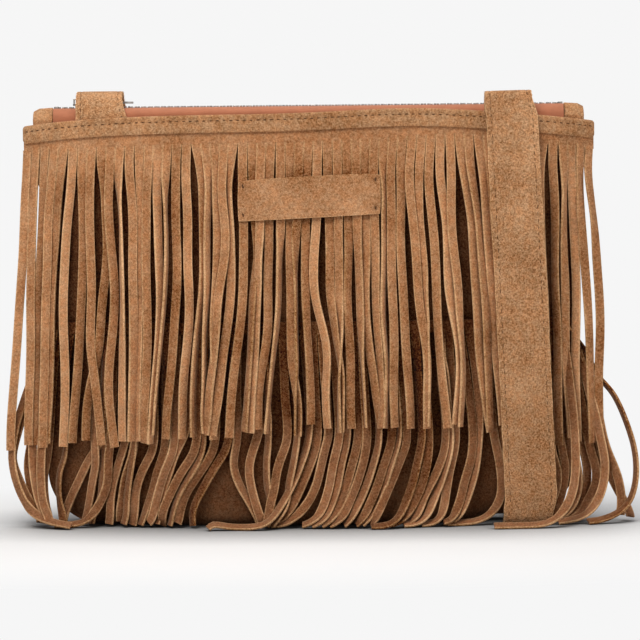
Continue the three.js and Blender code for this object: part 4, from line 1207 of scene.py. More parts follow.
def fringe(name, lines, turns, wide, rng, key, width):
    """Lays a cut strand along each line."""
    tree, identifiers = strand_tree()
    shades = np.clip(rng.normal(0.0, 0.15, len(lines)), -0.34, 0.26)
    shades = shades[:, None] * smooth(np.arange(turns.shape[1]) / 8)
    values = {
        "Width": width * MM,
        "Thickness": STRAND * MM,
        "Corner": STRAND_CORNER * MM,
        "Material": material_for(key),
    }
    if key == "lower":
        # Painted shade: the lower strands are coloured darker higher up, under the upper tier.
        shades = shades + painted_tier_shade(lines[..., 2])
    else:
        # Painted shade: the upper strands are coloured darker just above the patch's top edge, in the
        # hollow there.
        painted_shade_over_patch = np.exp(-(((lines[..., 2] - 180) / 5) ** 2)) * (np.abs(lines[..., 0]) < 36)
        shades = shades - 0.07 * painted_shade_over_patch
    spine = lines_object(name + "_lines", lines, faced(lines, turns), shades, wide)
    made = grow(spine, tree, identifiers, values, name)
    made.data.shade_smooth()
    made.data.set_sharp_from_angle(angle=math.radians(50))
    return made


def header(name, low, high, half, key):
    """The uncut strip above a tier's strands."""
    columns, rows = 150, 5
    xs = np.linspace(-half, half, columns)
    outer, inner = [], []
    for share in np.linspace(0, 1, rows):
        z = mix(low(xs), high(xs), share)
        depth = pouch_depth(xs, z) + LAYER
        outer.append(np.stack([xs, -(depth + STRAND), z], axis=1))
        inner.append(np.stack([xs, -depth, z], axis=1))
    sections = [[o[c] for o in outer] + [i[c] for i in reversed(inner)] for c in range(columns)]
    made = loft(name, sections, material_for(key))
    made.data.set_sharp_from_angle(angle=math.radians(40))
    if key == "lower":
        # Painted shade: the lower header is coloured darker, under the upper tier.
        set_attribute(made.data, "shade", painted_tier_shade(heights_of(made)))
    return made


def joined(name, pieces):
    """Several meshes as one piece."""
    mesh = bpy.data.meshes.new(name)
    shell = bmesh.new()
    for piece in pieces:
        shell.from_mesh(piece.data)
    shell.to_mesh(mesh)
    shell.free()
    for material in pieces[0].data.materials:
        mesh.materials.append(material)
    for piece in pieces:
        bpy.data.objects.remove(piece)
    return link(bpy.data.objects.new(name, mesh))


# Strap


class StrapWalk:
    """Walks a flat strap through space, the way the solids' source does."""

    def __init__(self, start, ahead, across):
        self.at, self.ahead, self.across = Vector(start), Vector(ahead), Vector(across)
        self.marks = []
        self.mark()

    def up(self):
        return self.across.cross(self.ahead)

    def mark(self, slant=0.0):
        half = (self.across + self.ahead * math.tan(slant)) * (STRAP_WIDTH / 2)
        self.marks.append((self.at.copy(), half, self.up() * (STRAP_THICKNESS / 2)))

    def go(self, length):
        self.at += self.ahead * length
        self.mark()

    def until(self, axis, value):
        self.go((value - self.at[axis]) / self.ahead[axis])

    def bend(self, degrees, radius, steps, slant_degrees=0.0):
        slant = math.radians(slant_degrees)
        axis = (self.across * math.cos(slant) + self.ahead * math.sin(slant)).normalized()
        side = math.copysign(1, degrees)
        centre = self.at + self.up() * (side * radius)
        angle = math.radians(degrees) / steps
        step = radius * abs(angle) * math.tan(slant)
        turn = Matrix.Rotation(angle, 3, axis)
        if abs(slant_degrees) > 5:
            self.mark(slant)
        for _ in range(steps):
            self.at = turn @ (self.at - centre) + centre + axis * step
            centre += axis * step
            self.ahead = turn @ self.ahead
            self.across = turn @ self.across
            self.mark(slant)


def hang_depth(x, face, from_depth, from_height):
    """How far out the strap is at the belly's height, so that it clears the face above."""
    inner = abs(x) - STRAP_WIDTH / 2
    reach = from_height - BELLY_HEIGHT
    need = []
    for share in (0.25, 0.5, 0.75, 1, 1.25):
        depth = float(face(inner, from_height - share * reach)) + CLEARANCE + STRAP_THICKNESS / 2
        need.append(from_depth + (depth - from_depth) / min(share, 1))
    return max(need)


def come_down(walk, ground):
    """Lowers the strap to the ground with two slight bends."""
    left = EASE_RADIUS * (1 - math.cos(math.radians(EASE_DEGREES)))
    walk.bend(EASE_DEGREES, EASE_RADIUS, 3)
    walk.until(2, ground + left)
    walk.bend(-EASE_DEGREES, EASE_RADIUS, 3)


def strap_walk():
    """The strap from its right end in the seam, under the bag and up to its left end."""
    half = STRAP_THICKNESS / 2
    ground = GROUND + half
    diagonal = STRAP_WIDTH / 2 + FOLD_ROOM
    shift = math.pi * FOLD_RADIUS / math.sqrt(2)
    before_fold, above_belly = 1.5, 10
    face = float(pouch_depth(STRAP_RIGHT, BAND_TOP)) + FRONT_BACKING + BAND_THICKNESS
    front = face + 2 * CLEARANCE + half
    radius = (front - STRAP_SEAM) / 2
    fold_height = STRAP_RISE - radius
    hang = hang_depth(STRAP_RIGHT, upper_face, front, fold_height)
    slope = math.degrees(math.atan2(hang - front, fold_height - BELLY_HEIGHT))
    walk = StrapWalk((STRAP_RIGHT, -STRAP_SEAM, SEAM_BOTTOM), (0, 0, 1), (1, 0, 0))
    walk.until(2, fold_height - before_fold)
    walk.bend(180, radius, 16, STRAP_LEAN / 2)
    walk.bend(-slope, SOFT_RADIUS, 4)
    walk.until(2, BELLY_HEIGHT + above_belly)
    walk.bend(slope, SOFT_RADIUS, 4)
    walk.until(2, ground + FOOT_RADIUS)
    walk.bend(90, FOOT_RADIUS, 10, STRAP_LEAN)
    walk.until(1, STRAP_BEHIND - diagonal)
    walk.until(1, STRAP_BEHIND)
    walk.marks.pop()
    walk.bend(180, FOLD_RADIUS, 10, STRAP_LEAN / 2 - 45)
    walk.go(diagonal)
    come_down(walk, ground)
    walk.until(0, -STRAP_STACK_HALF)
    walk.bend(-180, FOLD_RADIUS, 10)
    walk.until(0, STRAP_STACK_HALF)
    walk.bend(180, FOLD_RADIUS, 10)
    walk.until(0, -STRAP_STACK_HALF - 2 * STRAP_THICKNESS)
    come_down(walk, ground)
    turn = STRAP_LEFT + shift
    walk.until(0, turn + diagonal)
    walk.until(0, turn)
    walk.marks.pop()
    walk.bend(-180, FOLD_RADIUS, 10, 45)
    walk.go(diagonal)
    back = float(pouch_depth(STRAP_LEFT, BAND_TOP)) + LAYER + BAND_THICKNESS + CLEARANCE + half
    arch = back + CLEARANCE
    arch_height = STRAP_RISE - (arch + STRAP_SEAM) / 2
    climb = hang_depth(STRAP_LEFT, pouch_depth, arch, arch_height)
    slope = math.degrees(math.atan2(climb - arch, arch_height - BELLY_HEIGHT))
    walk.until(1, climb + FOOT_RADIUS)
    walk.bend(90, FOOT_RADIUS, 10)
    walk.until(2, BELLY_HEIGHT)
    walk.bend(-slope, SOFT_RADIUS, 4)
    walk.until(1, arch + CLEARANCE)
    walk.bend(slope, SOFT_RADIUS, 4)
    walk.until(2, arch_height)
    walk.bend(-180, (walk.at.y + STRAP_SEAM) / 2, 20)
    walk.until(2, SEAM_BOTTOM)
    return walk.marks


def strap_frames():
    """Closely spaced sections of the strap: middle, half width and half thickness.

    Its front foot and the tops of its loops are eased a little narrower, as in the photo.
    """
    step = 1.3
    marks = strap_walk()
    frames = [marks[0]]
    for (a, ha, ua), (b, hb, ub) in zip(marks, marks[1:]):
        pieces = max(1, round((b - a).length / step))
        for k in range(1, pieces + 1):
            s = k / pieces
            frames.append((a.lerp(b, s), ha.lerp(hb, s), ua.lerp(ub, s)))
    eased = []
    for at, half, up in frames:
        foot = float(smooth((17 - at.z) / 15) * smooth((10 - at.y) / 25))
        if at.x > 60 and foot > 0:
            at, half = at + Vector((-2.0 * foot, 0, 0)), half * (1 - 0.07 * foot)
        pinch = 0.1 * float(smooth((at.z - 205) / 12))
        at, half = at + Vector((-pinch * STRAP_WIDTH / 2, 0, 0)), half * (1 - pinch)
        eased.append((at, half, up))
    return eased


# What the sidebar offers


class FringeSizes(bpy.types.PropertyGroup):
    strand_width: FloatProperty(
        name="Strand width",
        description="Width of a cut strand in millimetres",
        default=4.5,
        min=2,
        max=4.7,
    )
    upper_length: FloatProperty(
        name="Upper length",
        description="Length of the upper strands in the middle, in millimetres",
        default=144.5,
        min=100,
        max=160,
    )
    twisted: FloatProperty(
        name="Twisted share",
        description="How many of the upper strands twist to show an edge",
        default=0.26,
        min=0,
        max=1,
        subtype="FACTOR",
    )
    seed: IntProperty(
        name="Seed",
        description="Picks how the strands hang",
        default=11,
        min=0,
    )


class TrimSizes(bpy.types.PropertyGroup):
    band_stitch: FloatProperty(
        name="Band stitch",
        description="Length of a band stitch in millimetres",
        default=1.9,
        min=1,
        max=5,
    )
    band_stitch_drop: FloatProperty(
        name="Band stitch line",
        description="Distance of the stitching below the band's top edge, in millimetres",
        default=3.0,
        min=2,
        max=6,
    )
    strap_stitch: FloatProperty(
        name="Strap stitch",
        description="Length of a strap stitch in millimetres",
        default=2.2,
        min=1,
        max=5,
    )
    strap_stitch_inset: FloatProperty(
        name="Strap stitch line",
        description="Distance of the stitching from the strap's edge, in millimetres",
        default=2.6,
        min=1,
        max=6,
    )
    tooth_pitch: FloatProperty(
        name="Tooth pitch",
        description="Distance between the teeth of one row, in millimetres",
        default=3.3,
        min=2,
        max=5,
    )


class Finishes(bpy.types.PropertyGroup):
    suede: FloatVectorProperty(
        name="Suede",
        description="Colour of the strap and bands",
        default=(0.43, 0.217, 0.1),
        min=0,
        max=1,
        subtype="COLOR",
    )
    fringe: FloatVectorProperty(
        name="Upper fringe",
        description="Colour of the upper strands",
        default=(0.415, 0.194, 0.086),
        min=0,
        max=1,
        subtype="COLOR",
    )
    # Painted shade: a darkened copy of the fringe's colour, standing in for the shade under the upper tier.
    lower_fringe: FloatVectorProperty(
        name="Lower fringe",
        description="Colour of the lower strands",
        default=(0.262, 0.112, 0.0485),
        min=0,
        max=1,
        subtype="COLOR",
    )
    cut_edge: FloatVectorProperty(
        name="Cut edge",
        description="Colour of the raw edges",
        default=(0.57, 0.32, 0.155),
        min=0,
        max=1,
        subtype="COLOR",
    )
    patch: FloatVectorProperty(
        name="Patch",
        description="Colour of the label patch",
        default=(0.415, 0.205, 0.095),
        min=0,
        max=1,
        subtype="COLOR",
    )
    # Painted shade: a darkened copy of the suede's colour, standing in for the shade on the pouch behind
    # the fringe.
    pouch: FloatVectorProperty(
        name="Pouch",
        description="Colour of the pouch's suede",
        default=(0.16, 0.067, 0.028),
        min=0,
        max=1,
        subtype="COLOR",
    )
    lining: FloatVectorProperty(
        name="Lining",
        description="Colour of the lining",
        default=(0.07, 0.045, 0.03),
        min=0,
        max=1,
        subtype="COLOR",
    )
    tape: FloatVectorProperty(
        name="Zip tape",
        description="Colour of the woven zip tape",
        default=(0.445, 0.162, 0.081),
        min=0,
        max=1,
        subtype="COLOR",
    )
    metal: FloatVectorProperty(
        name="Zip metal",
        description="Colour of the teeth, slider and puller",
        default=(0.21, 0.19, 0.175),
        min=0,
        max=1,
        subtype="COLOR",
    )
    thread: FloatVectorProperty(
        name="Thread",
        description="Colour of the sewing thread",
        default=(0.1, 0.045, 0.02),
        min=0,
        max=1,
        subtype="COLOR",
    )


# Pieces


def panel_shell(name, side, key, rng, inset=0.0):
    """One side of the pouch or its lining: under the base, up the wall, to the mouth."""
    columns = 121
    least = 0.15
    floor, top, thickness = 0.0, PANEL_TOP, SUEDE
    if inset:
        floor, top, thickness = LINING_FLOOR, PANEL_TOP - LINING_DROP, LINING
    u = np.sin(np.linspace(-math.pi / 2, math.pi / 2, columns))
    rows = []
    for share in np.linspace(0.02, 0.94, 7):
        x = u * (half_width(0.0) - 2 * inset)
        y = side * level_depth(x, 0.0, inset) * share
        rows.append(np.stack([x, y, base_lift(x, 0.0) + floor], axis=1))
    edge = np.array([0, 0.3, 0.8, 1.6, 2.6, 4.0, 6.0])
    wall = np.linspace(9, PANEL_TOP, 76)
    lows, highs = (-120, 20, 10, -1.0, 0.5), (120, 190, 26, 1.0, 1.0)
    dents = rng.uniform(lows, highs, (26, 5))
    for level in np.concatenate([edge, wall]):
        x = u * (half_width(level) - 2 * inset)
        dent = np.zeros(columns)
        for cx, cz, size, lean, deep in dents:
            dx, dz = x - cx - lean * (level - cz), level - cz
            dent += deep * np.exp(-((dx / size) ** 2) - (dz / (2.2 * size)) ** 2)
        give = smooth(level / 14) * smooth((PANEL_TOP - 22 - level) / 18)
        fade = smooth((half_width(level) - np.abs(x)) / 25)
        dented = level_depth(x, level, inset) - 1.5 * np.clip(dent, 0, 1.4) * give * fade
        z = mix(floor, top, level / PANEL_TOP) - sag(x, level) + base_lift(x, level)
        rows.append(np.stack([x, side * np.maximum(dented, least), z], axis=1))
    faces = grid_faces(len(rows), columns)
    sheet = mesh_object(name + "_sheet", np.concatenate(rows), faces, material_for(key))
    made = wall_from_sheet(sheet, side, thickness, name)
    if side < 0 and not inset:
        # Painted shade: the front panel is coloured darker higher up, where the fringe hangs over it.
        shades = np.interp(heights_of(made), (8, 30, 48, 75), (0.0, -0.2, -0.4, -0.4))
        set_attribute(made.data, "shade", shades)
    return made


class BAG_OT_pouch(bpy.types.Operator):
    """Makes the two suede panels and the lining"""

    bl_idname = "bag.pouch"
    bl_label = "Pouch"

    def execute(self, context):
        rng = np.random.default_rng(5)
        front = panel_shell("front_suede", -1, "pouch", rng)
        finish(front, "bag", "suede_shaded", "front_panel")
        back = panel_shell("back_suede", 1, "pouch", rng)
        finish(back, "bag", "suede_tan", "back_panel")
        halves = [
            panel_shell(f"lining_{word}", side, "lining", rng, LINING_INSET)
            for word, side in (("front", -1), ("back", 1))
        ]
        finish(joined("inner_lining", halves), "bag", "lining_cloth", "lining")
        return {"FINISHED"}


class BAG_OT_upper_fringe(bpy.types.Operator):
    """Makes the upper tier of cut strands under its header"""

    bl_idname = "bag.upper_fringe"
    bl_label = "Upper fringe"

    def execute(self, context):
        sizes = context.scene.bag_fringe
        rng = np.random.default_rng(sizes.seed)
        cut = fringe("upper_cut", *upper_strands(sizes, rng), rng, "upper", sizes.strand_width)
        half = BAG_WIDTH / 2 - CLEARANCE
        top = header("upper_header", upper_cut, lambda x: PANEL_TOP - arch_drop(x) - 0.2, half, "upper")
        finish(joined("upper_strands", [cut, top]), "bag", "suede_tan", "upper_fringe")
        return {"FINISHED"}


class BAG_OT_lower_fringe(bpy.types.Operator):
    """Makes the lower tier, whose strands end on the ground"""

    bl_idname = "bag.lower_fringe"
    bl_label = "Lower fringe"

    def execute(self, context):
        sizes = context.scene.bag_fringe
        rng = np.random.default_rng(sizes.seed + 1)
        cut = fringe("lower_cut", *lower_strands(sizes, rng), rng, "lower", sizes.strand_width)
        half = BODY_WIDTH / 2 - CLEARANCE
        low, high = LOWER_TOP - LOWER_HEADER, LOWER_TOP
        top = header("lower_header", lambda x: x * 0 + low, lambda x: x * 0 + high, half, "lower")
        finish(joined("lower_strands", [cut, top]), "bag", "suede_shaded", "lower_fringe")
        return {"FINISHED"}


def band_swell(side, x):
    """How far a band's outside wanders along it."""
    draws = np.random.default_rng(21 + side).uniform((0.02, 0, 0.04), (0.07, 6.28, 0.1), (6, 3))
    rates, phases, sizes = draws.T
    return (sizes * np.sin(np.multiply.outer(x, rates) + phases)).sum(-1)


def band_piece(name, side, backing, drop):
    """A strip folded over the top edge of the pouch, grooved where it is stitched."""
    levels = (1.2, 3.2, 5.2, 6.0, 6.8, 7.6)
    half = BAG_WIDTH / 2
    xs = set(np.linspace(-half, half, 161)) | {-half + 0.3, -half + 0.8, half - 0.8, half - 0.3}
    slot = STRAP_WIDTH / 2 + CLEARANCE
    if side < 0:
        for middle in (STRAP_LEFT, STRAP_RIGHT):
            xs |= {middle - slot, middle - slot + 0.05, middle + slot - 0.05, middle + slot}
    sections = []
    for x in sorted(xs):
        top = BAND_TOP - float(arch_drop(x)) + (float(crown(x)) if side < 0 else 0)
        bottom = top - BAND_HEIGHT
        under = top - BAND_THICKNESS
        wave = float(band_swell(side, x))

        def inner(z):
            return float(pouch_depth(x, z)) + backing

        lip = max(CLEARANCE, float(pouch_depth(x, under)) - SUEDE)
        nearest = min(abs(x - middle) for middle in (STRAP_LEFT, STRAP_RIGHT))
        if side < 0 and nearest < slot - 0.01:
            lip = STRAP_SEAM + STRAP_THICKNESS / 2 + CLEARANCE
        out = [inner(bottom + t) + BAND_THICKNESS for t in (0, *levels)]
        stitched = top - drop
        outline = [(inner(bottom), bottom), (out[0] - 0.15, bottom - 0.02), (out[0], bottom + 0.25)]
        for t, o in zip(levels, out[1:]):
            groove = 0.35 * math.exp(-(((bottom + t - stitched) / 0.8) ** 2))
            outline.append((o + 0.15 - groove + wave * t / BAND_HEIGHT, bottom + t))
        outline += [
            (out[-1] + 0.05, top - 0.75),
            (out[-1] - 0.3, top - 0.2),
            (out[-1] - 0.7, top),
            (max(lip + 0.05, out[-1] - 1.4), top - 0.02),
            (lip, top - 0.1),
            (lip, under),
            (max(inner(under), lip + 0.01), under),
        ]
        outline = np.array(outline)
        middle = outline.mean(axis=0)
        shrink = 0.35 * max(0.0, 1 - (half - abs(x)) / 1.2) ** 2
        outline = middle + (outline - middle) * (1 - shrink)
        sections.append([(x, side * depth, z) for depth, z in outline])
    made = loft(name, sections, material_for("band"))
    made.data.set_sharp_from_angle(angle=math.radians(55))
    return made


def band_stitching(side, backing, drop):
    """The line of a band's stitches and the way they face."""
    xs = np.linspace(-BAG_WIDTH / 2 + 2, BAG_WIDTH / 2 - 2, 240)
    z = BAND_TOP - arch_drop(xs) - drop + (crown(xs) if side < 0 else 0)
    face = pouch_depth(xs, z) + backing + BAND_THICKNESS
    depth = face - STITCH_SINK + band_swell(side, xs) * 2 / 3
    line = np.stack([xs, side * depth, z], axis=1)
    return line, np.tile([0.0, float(side), 0.0], (len(xs), 1))


class BAG_OT_bands(bpy.types.Operator):
    """Makes the stitched bands along the mouth"""

    bl_idname = "bag.bands"
    bl_label = "Bands"

    def execute(self, context):
        trim = context.scene.bag_trim
        for word, side, backing in (("front", -1, FRONT_BACKING), ("back", 1, LAYER)):
            made = band_piece(f"{word}_edging", side, backing, trim.band_stitch_drop)
            finish(made, "bag", "suede_tan", f"{word}_band")
            line, facing = band_stitching(side, backing, trim.band_stitch_drop)
            name = f"{word}_edging_stitches"
            sewn = stitches(name, [line], [facing], trim.band_stitch, 1.5, 0.7)
            finish(sewn, "bag", "suede_tan")
        return {"FINISHED"}


def tape_piece(name, side):
    """Woven tape from the teeth down into the seam."""
    end = CHAIN_LENGTH / 2 + CLEARANCE + STOP_LENGTH + CLEARANCE
    edge = CHAIN_SLOT / 2 + TOOTH_REACH + CORD_WIDTH + CLEARANCE
    half = TAPE_THICKNESS / 2
    sections = []
    for x in np.linspace(-end, end, 181):

        def seat(z):
            return float(pouch_depth(x, z, SUEDE)) - CLEARANCE

        bend = BAND_TOP - float(arch_drop(x)) - 0.5
        hem = bend - TAPE_HEM
        middle = [
            (seat(hem) - half, hem),
            (seat(bend - 4) - half, bend - 4),
            (seat(bend) - half, bend - 1),
            (seat(bend) - 0.35 - half, bend - 0.1),
            (mix(seat(bend), edge, 0.1) + 0.1, mix(bend, ZIP_HEIGHT, 0.3)),
            (mix(seat(bend), edge, 0.32) + 0.1, mix(bend, ZIP_HEIGHT, 0.66)),
            (mix(seat(bend), edge, 0.65), mix(bend, ZIP_HEIGHT, 0.94)),
            (edge, ZIP_HEIGHT),
        ]
        outer, inner = [], []
        for k, (depth, z) in enumerate(middle):
            before, after = middle[max(0, k - 1)], middle[min(len(middle) - 1, k + 1)]
            run, rise = after[0] - before[0], after[1] - before[1]
            size = math.hypot(run, rise)
            nx, nz = rise / size * half, -run / size * half
            outer.append((x, side * (depth + nx), z + nz))
            inner.append((x, side * (depth - nx), z - nz))
        sections.append(outer + inner[::-1])
    made = loft(name, sections, material_for("tape"))
    made.data.set_sharp_from_angle(angle=math.radians(50))
    return made


def zip_cord(name, y):
    """The cord woven into a tape's edge, which the teeth grip."""
    end = CHAIN_LENGTH / 2
    wide, high = 0.55, 0.4
    around = np.linspace(0, 2 * math.pi, 12, endpoint=False)
    rounded = [(-end, 0.4), (0.4 - end, 0.85), (1 - end, 1)]
    sections = []
    for x, size in rounded + [(-x, size) for x, size in reversed(rounded)]:
        y_ring, z_ring = wide * size * np.cos(around), high * size * np.sin(around)
        sections.append(np.stack([np.full(12, x), y + y_ring, ZIP_HEIGHT + z_ring], axis=1))
    return loft(name, sections, material_for("tape"))


def tooth():
    """One metal tooth: a clamp with a rounded head, pointing along Y."""
    shell = bmesh.new()
    clamp = bmesh.ops.create_cube(shell, size=1.0)["verts"]
    bmesh.ops.scale(shell, vec=(1.3, 1.5, 2.2), verts=clamp)
    bmesh.ops.translate(shell, vec=(0, -0.45, 0), verts=clamp)
    head = bmesh.ops.create_cube(shell, size=1.0)["verts"]
    bmesh.ops.scale(shell, vec=(1.0, 1.0, 1.8), verts=head)
    bmesh.ops.translate(shell, vec=(0, 0.6, 0), verts=head)
    corners = shell.edges[:] + shell.verts[:]
    bmesh.ops.bevel(shell, geom=corners, offset=0.22, segments=1, affect="EDGES")
    return small_piece("tooth", shell)


class BAG_OT_zip(bpy.types.Operator):
    """Makes the zip: tapes, two rows of teeth, stops and the tabs over its ends"""

    bl_idname = "bag.zip"
    bl_label = "Zip"

    def execute(self, context):
        trim = context.scene.bag_trim
        half = CHAIN_LENGTH / 2 - 1.2
        for word, side in (("front", -1), ("back", 1)):
            finish(tape_piece(f"{word}_tape", side), "bag", "zip_tape", f"zip_tape_{word}")
            offset = side * trim.tooth_pitch / 4
            y = side * (CHAIN_SLOT / 2 + 1.0)
            path = np.array([[-half + offset, y, ZIP_HEIGHT], [half + offset, y, ZIP_HEIGHT]])
            if side > 0:
                path = path[::-1]
            up = np.tile([0.0, 0.0, 1.0], (2, 1))
            name, metal = f"{word}_teeth_cut", material_for("metal")
            row = repeated(name, tooth(), [path], [up], trim.tooth_pitch, 0.0, 3, metal)
            finish(row, "bag", "zip_metal", f"zip_teeth_{word}")
            cord = side * (CHAIN_SLOT / 2 + TOOTH_REACH + CORD_WIDTH / 2)
            finish(zip_cord(f"{word}_zip_cord", cord), "bag", "zip_tape")
        for node in ("zip_top_stop_front", "zip_top_stop_back", "zip_bottom_stop"):
            stop = softened(node, node + "_rounded", material_for("metal"), 0.3)
            finish(stop, "bag", "zip_metal", node)
        for node in ("zip_end_tab_left", "zip_end_tab_right"):
            tab = softened(node, node + "_suede", material_for("band"), 0.35)
            low = min(vertex.co.z for vertex in tab.data.vertices)
            rim, deeper, narrower = 0.9 * MM, 3.2 * MM, 0.72
            for vertex in tab.data.vertices:
                if vertex.co.z < low + rim:
                    vertex.co.z -= deeper
                    vertex.co.y *= narrower
            finish(tab, "bag", "suede_pale", node)
        return {"FINISHED"}


class BAG_OT_slider(bpy.types.Operator):
    """Makes the slider and its puller, which move"""

    bl_idname = "bag.slider"
    bl_label = "Slider and puller"

    def execute(self, context):
        slider = softened("zip_slider", "slider", material_for("metal"), 0.22)
        finish(slider, "slider", "zip_metal", "zip_slider")
        puller = softened("zip_puller", "pull_tab", material_for("metal"), 0.25)
        finish(puller, "puller", "zip_metal", "zip_puller")
        return {"FINISHED"}


class BAG_OT_strap(bpy.types.Operator):
    """Makes the strap with its raw edges and stitching"""

    bl_idname = "bag.strap"
    bl_label = "Strap"

    def execute(self, context):
        trim = context.scene.bag_trim
        frames = strap_frames()
        rng = np.random.default_rng(8)
        count = len(frames)
        fray = [
            np.convolve(rng.normal(0, 0.015, count + 4), [0.25, 0.5, 0.25], "same")[:count]
            for _ in range(2)
        ]
        groove = 0.795
        half_across = (0.0, 0.4, 0.73, groove, 0.86, 0.95, 0.985, 1.0)
        across = [-a for a in half_across[:0:-1]] + list(half_across)
        sections = []
        for k, (at, half, up) in enumerate(frames):
            section = []
            for face in (1, -1):
                for a in across[::face]:
                    edge = smooth((abs(a) - 0.9) / 0.1)
                    ragged = a * (1 + fray[0 if a < 0 else 1][k] * edge)
                    height = 1.0 - 0.16 * edge - 0.22 * math.exp(-(((abs(a) - groove) / 0.04) ** 2))
                    section.append(at + half * ragged + up * (face * height))
                section.append(at + half * face * (0.985 + fray[1 if face > 0 else 0][k]))
            sections.append([tuple(p) for p in section])
        made = loft("shoulder_strap", sections, material_for("strap"))
        marks = np.abs([*across, 1.0, *across[::-1], 1.0])
        set_attribute(made.data, "edge", np.tile(np.where(marks > 0.96, 0.49, 0.0), count))
        # Painted light: the strap is coloured lighter towards its top, as if lit more there.
        set_attribute(made.data, "shade", np.interp(heights_of(made), (150, 215), (0.0, 0.11)))
        made.data.set_sharp_from_angle(angle=math.radians(60))
        finish(made, "bag", "suede_tan", "strap")
        share = 1 - trim.strap_stitch_inset / (STRAP_WIDTH / 2)
        lines, facings = [], []
        for side in (-1, 1):
            for face in (-1, 1):
                line = [at + half * (side * share) + up * (face * 0.86) for at, half, up in frames]
                lines.append(np.array([tuple(p) for p in line]))
                facings.append(np.array([tuple((up * face).normalized()) for _, _, up in frames]))
        sewn = stitches("strap_stitches", lines, facings, trim.strap_stitch, 1.2, 0.42)
        finish(sewn, "bag", "suede_tan")
        lines, facings = [], []
        for side in (-1, 1):
            out = np.array([tuple((half * side).normalized()) for _, half, _ in frames])
            for height in (-0.6, 0.0, 0.6):
                line = [tuple(at + half * side * 0.99 + up * height) for at, half, up in frames]
                lines.append(np.array(line))
                facings.append(unit(out + rng.normal(0, 0.75, out.shape)))
        loose = fuzz("strap_edge_fibres", lines, facings, 0.85)
        finish(loose, "bag", "suede_tan")
        return {"FINISHED"}


class BAG_OT_patch(bpy.types.Operator):
    """Makes the bare label patch, sewn on over the fringe at its corners"""

    bl_idname = "bag.patch"
    bl_label = "Label patch"

    def execute(self, context):
        columns, rows = 61, 25
        points = []
        for r in np.linspace(-0.5, 0.5, rows):
            for c in np.linspace(-0.5, 0.5, columns):
                x = c * PATCH_LENGTH * (1 - 0.012 * (2 * r) ** 2)
                z = PATCH_MIDDLE + x * PATCH_SLOPE + r * PATCH_HEIGHT * (1 - 0.02 * (2 * c) ** 2)
                depth = float(upper_face(0.0, z)) + CLEARANCE
                corner = (abs(2 * c) ** 6) * (abs(2 * r) ** 4)
                z -= 0.9 * abs(2 * c) ** 8 * smooth(2 * r)
                swell = 0.7 * (1 - (2 * r) ** 2) * (1 - (2 * c) ** 4)
                lower_lip = 0.5 * smooth((-r - 0.36) / 0.14) * (1 - abs(2 * c) ** 3)
                y = -(depth + PATCH_THICKNESS + 1.6 * swell + lower_lip - 0.35 * corner)
                for corner_x, corner_z in PATCH_CORNERS:
                    rise = z - PATCH_MIDDLE - x * PATCH_SLOPE - corner_z
                    hole = math.hypot(x - corner_x, rise)
                    y += 0.7 * math.exp(-((hole / 0.7) ** 2)) + 0.6 * math.exp(-((hole / 2.6) ** 2))
                points.append((x, y, z))
        sheet = mesh_object("patch_sheet", points, grid_faces(rows, columns), material_for("patch"))
        made = wall_from_sheet(sheet, -1, PATCH_THICKNESS - 0.05, "plain_patch")
        rim = np.full((rows, columns), 0.49)
        rim[1:-1, 1:-1] = 0
        set_attribute(made.data, "edge", np.tile(rim.ravel(), 2))
        # Painted shading: the patch is coloured darker towards its top and a little lighter low down.
        rise = np.repeat(np.linspace(0, 1, rows), columns)
        set_attribute(made.data, "shade", np.tile(np.interp(rise, (0.2, 1), (0.03, -0.1)), 2))
        made.data.shade_smooth()
        made.data.set_sharp_from_angle(angle=math.radians(50))
        finish(made, "bag", "suede_pale", "label_patch")
        lines, facings = [], []
        for x, corner_z in PATCH_CORNERS:
            z = PATCH_MIDDLE + x * PATCH_SLOPE + corner_z
            front = -(float(upper_face(0.0, z)) + CLEARANCE + 1.5)
            lines.append(np.array([[x, front, z], [x + math.copysign(0.3, x), front, z + 2.0]]))
            facings.append(np.tile([0.0, -1.0, 0.0], (2, 1)))
        sewn = stitches("patch_stitches", lines, facings, 2.2, 3.0, 1.1)
        finish(sewn, "bag", "suede_pale")
        return {"FINISHED"}


# Stage

WHITE = 0.922


def pale_floor():
    """Lit near the bag, where its shadow falls and a painted contact shadow darkens it, and plain white
    further out.
    """
    material, tree, place = fresh_material("pale_floor")
    inputs = {"Vector": place, "Location": (0.0, 0.16, 0.0), "Scale": (2.7, 5.5, 1.0)}
    stretch = wire(tree, "ShaderNodeMapping", inputs)
    away = wire(tree, "ShaderNodeVectorMath", {0: stretch.outputs[0]}, operation="LENGTH")
    far = spread(tree, away.outputs["Value"], 0.62, 1.1)
    # Painted contact shadow: ambient occlusion darkens the floor's grey close to the bag.
    near = wire(tree, "ShaderNodeAmbientOcclusion", {"Distance": 0.07}, samples=12).outputs["AO"]
    tone = spread(tree, worked_out(tree, "POWER", near, 1.6), 0.0, 1.0, 0.1, 0.86)
    grey = wire(tree, "ShaderNodeCombineColor", {0: tone, 1: tone, 2: tone}).outputs[0]
    lit = wire(tree, "ShaderNodeBsdfDiffuse", {"Color": grey})
    plain = wire(tree, "ShaderNodeEmission", {"Color": (WHITE, WHITE, WHITE, 1.0)})
    both = wire(tree, "ShaderNodeMixShader", {0: far, 1: lit.outputs[0], 2: plain.outputs[0]})
    wire(tree, "ShaderNodeOutputMaterial", {"Surface": both.outputs[0]})
    return material


def area_light(name, place, target, size, power, colour=(1.0, 1.0, 1.0)):
    """A rectangular light that looks at a target."""
    lamp = bpy.data.lights.new(name, "AREA")
    lamp.shape = "RECTANGLE"
    lamp.size, lamp.size_y = size
    lamp.energy = power
    lamp.color = colour
    obj = link(bpy.data.objects.new(name, lamp))
    obj.location = place
    obj.rotation_euler = (Vector(target) - Vector(place)).to_track_quat("-Z", "Y").to_euler()


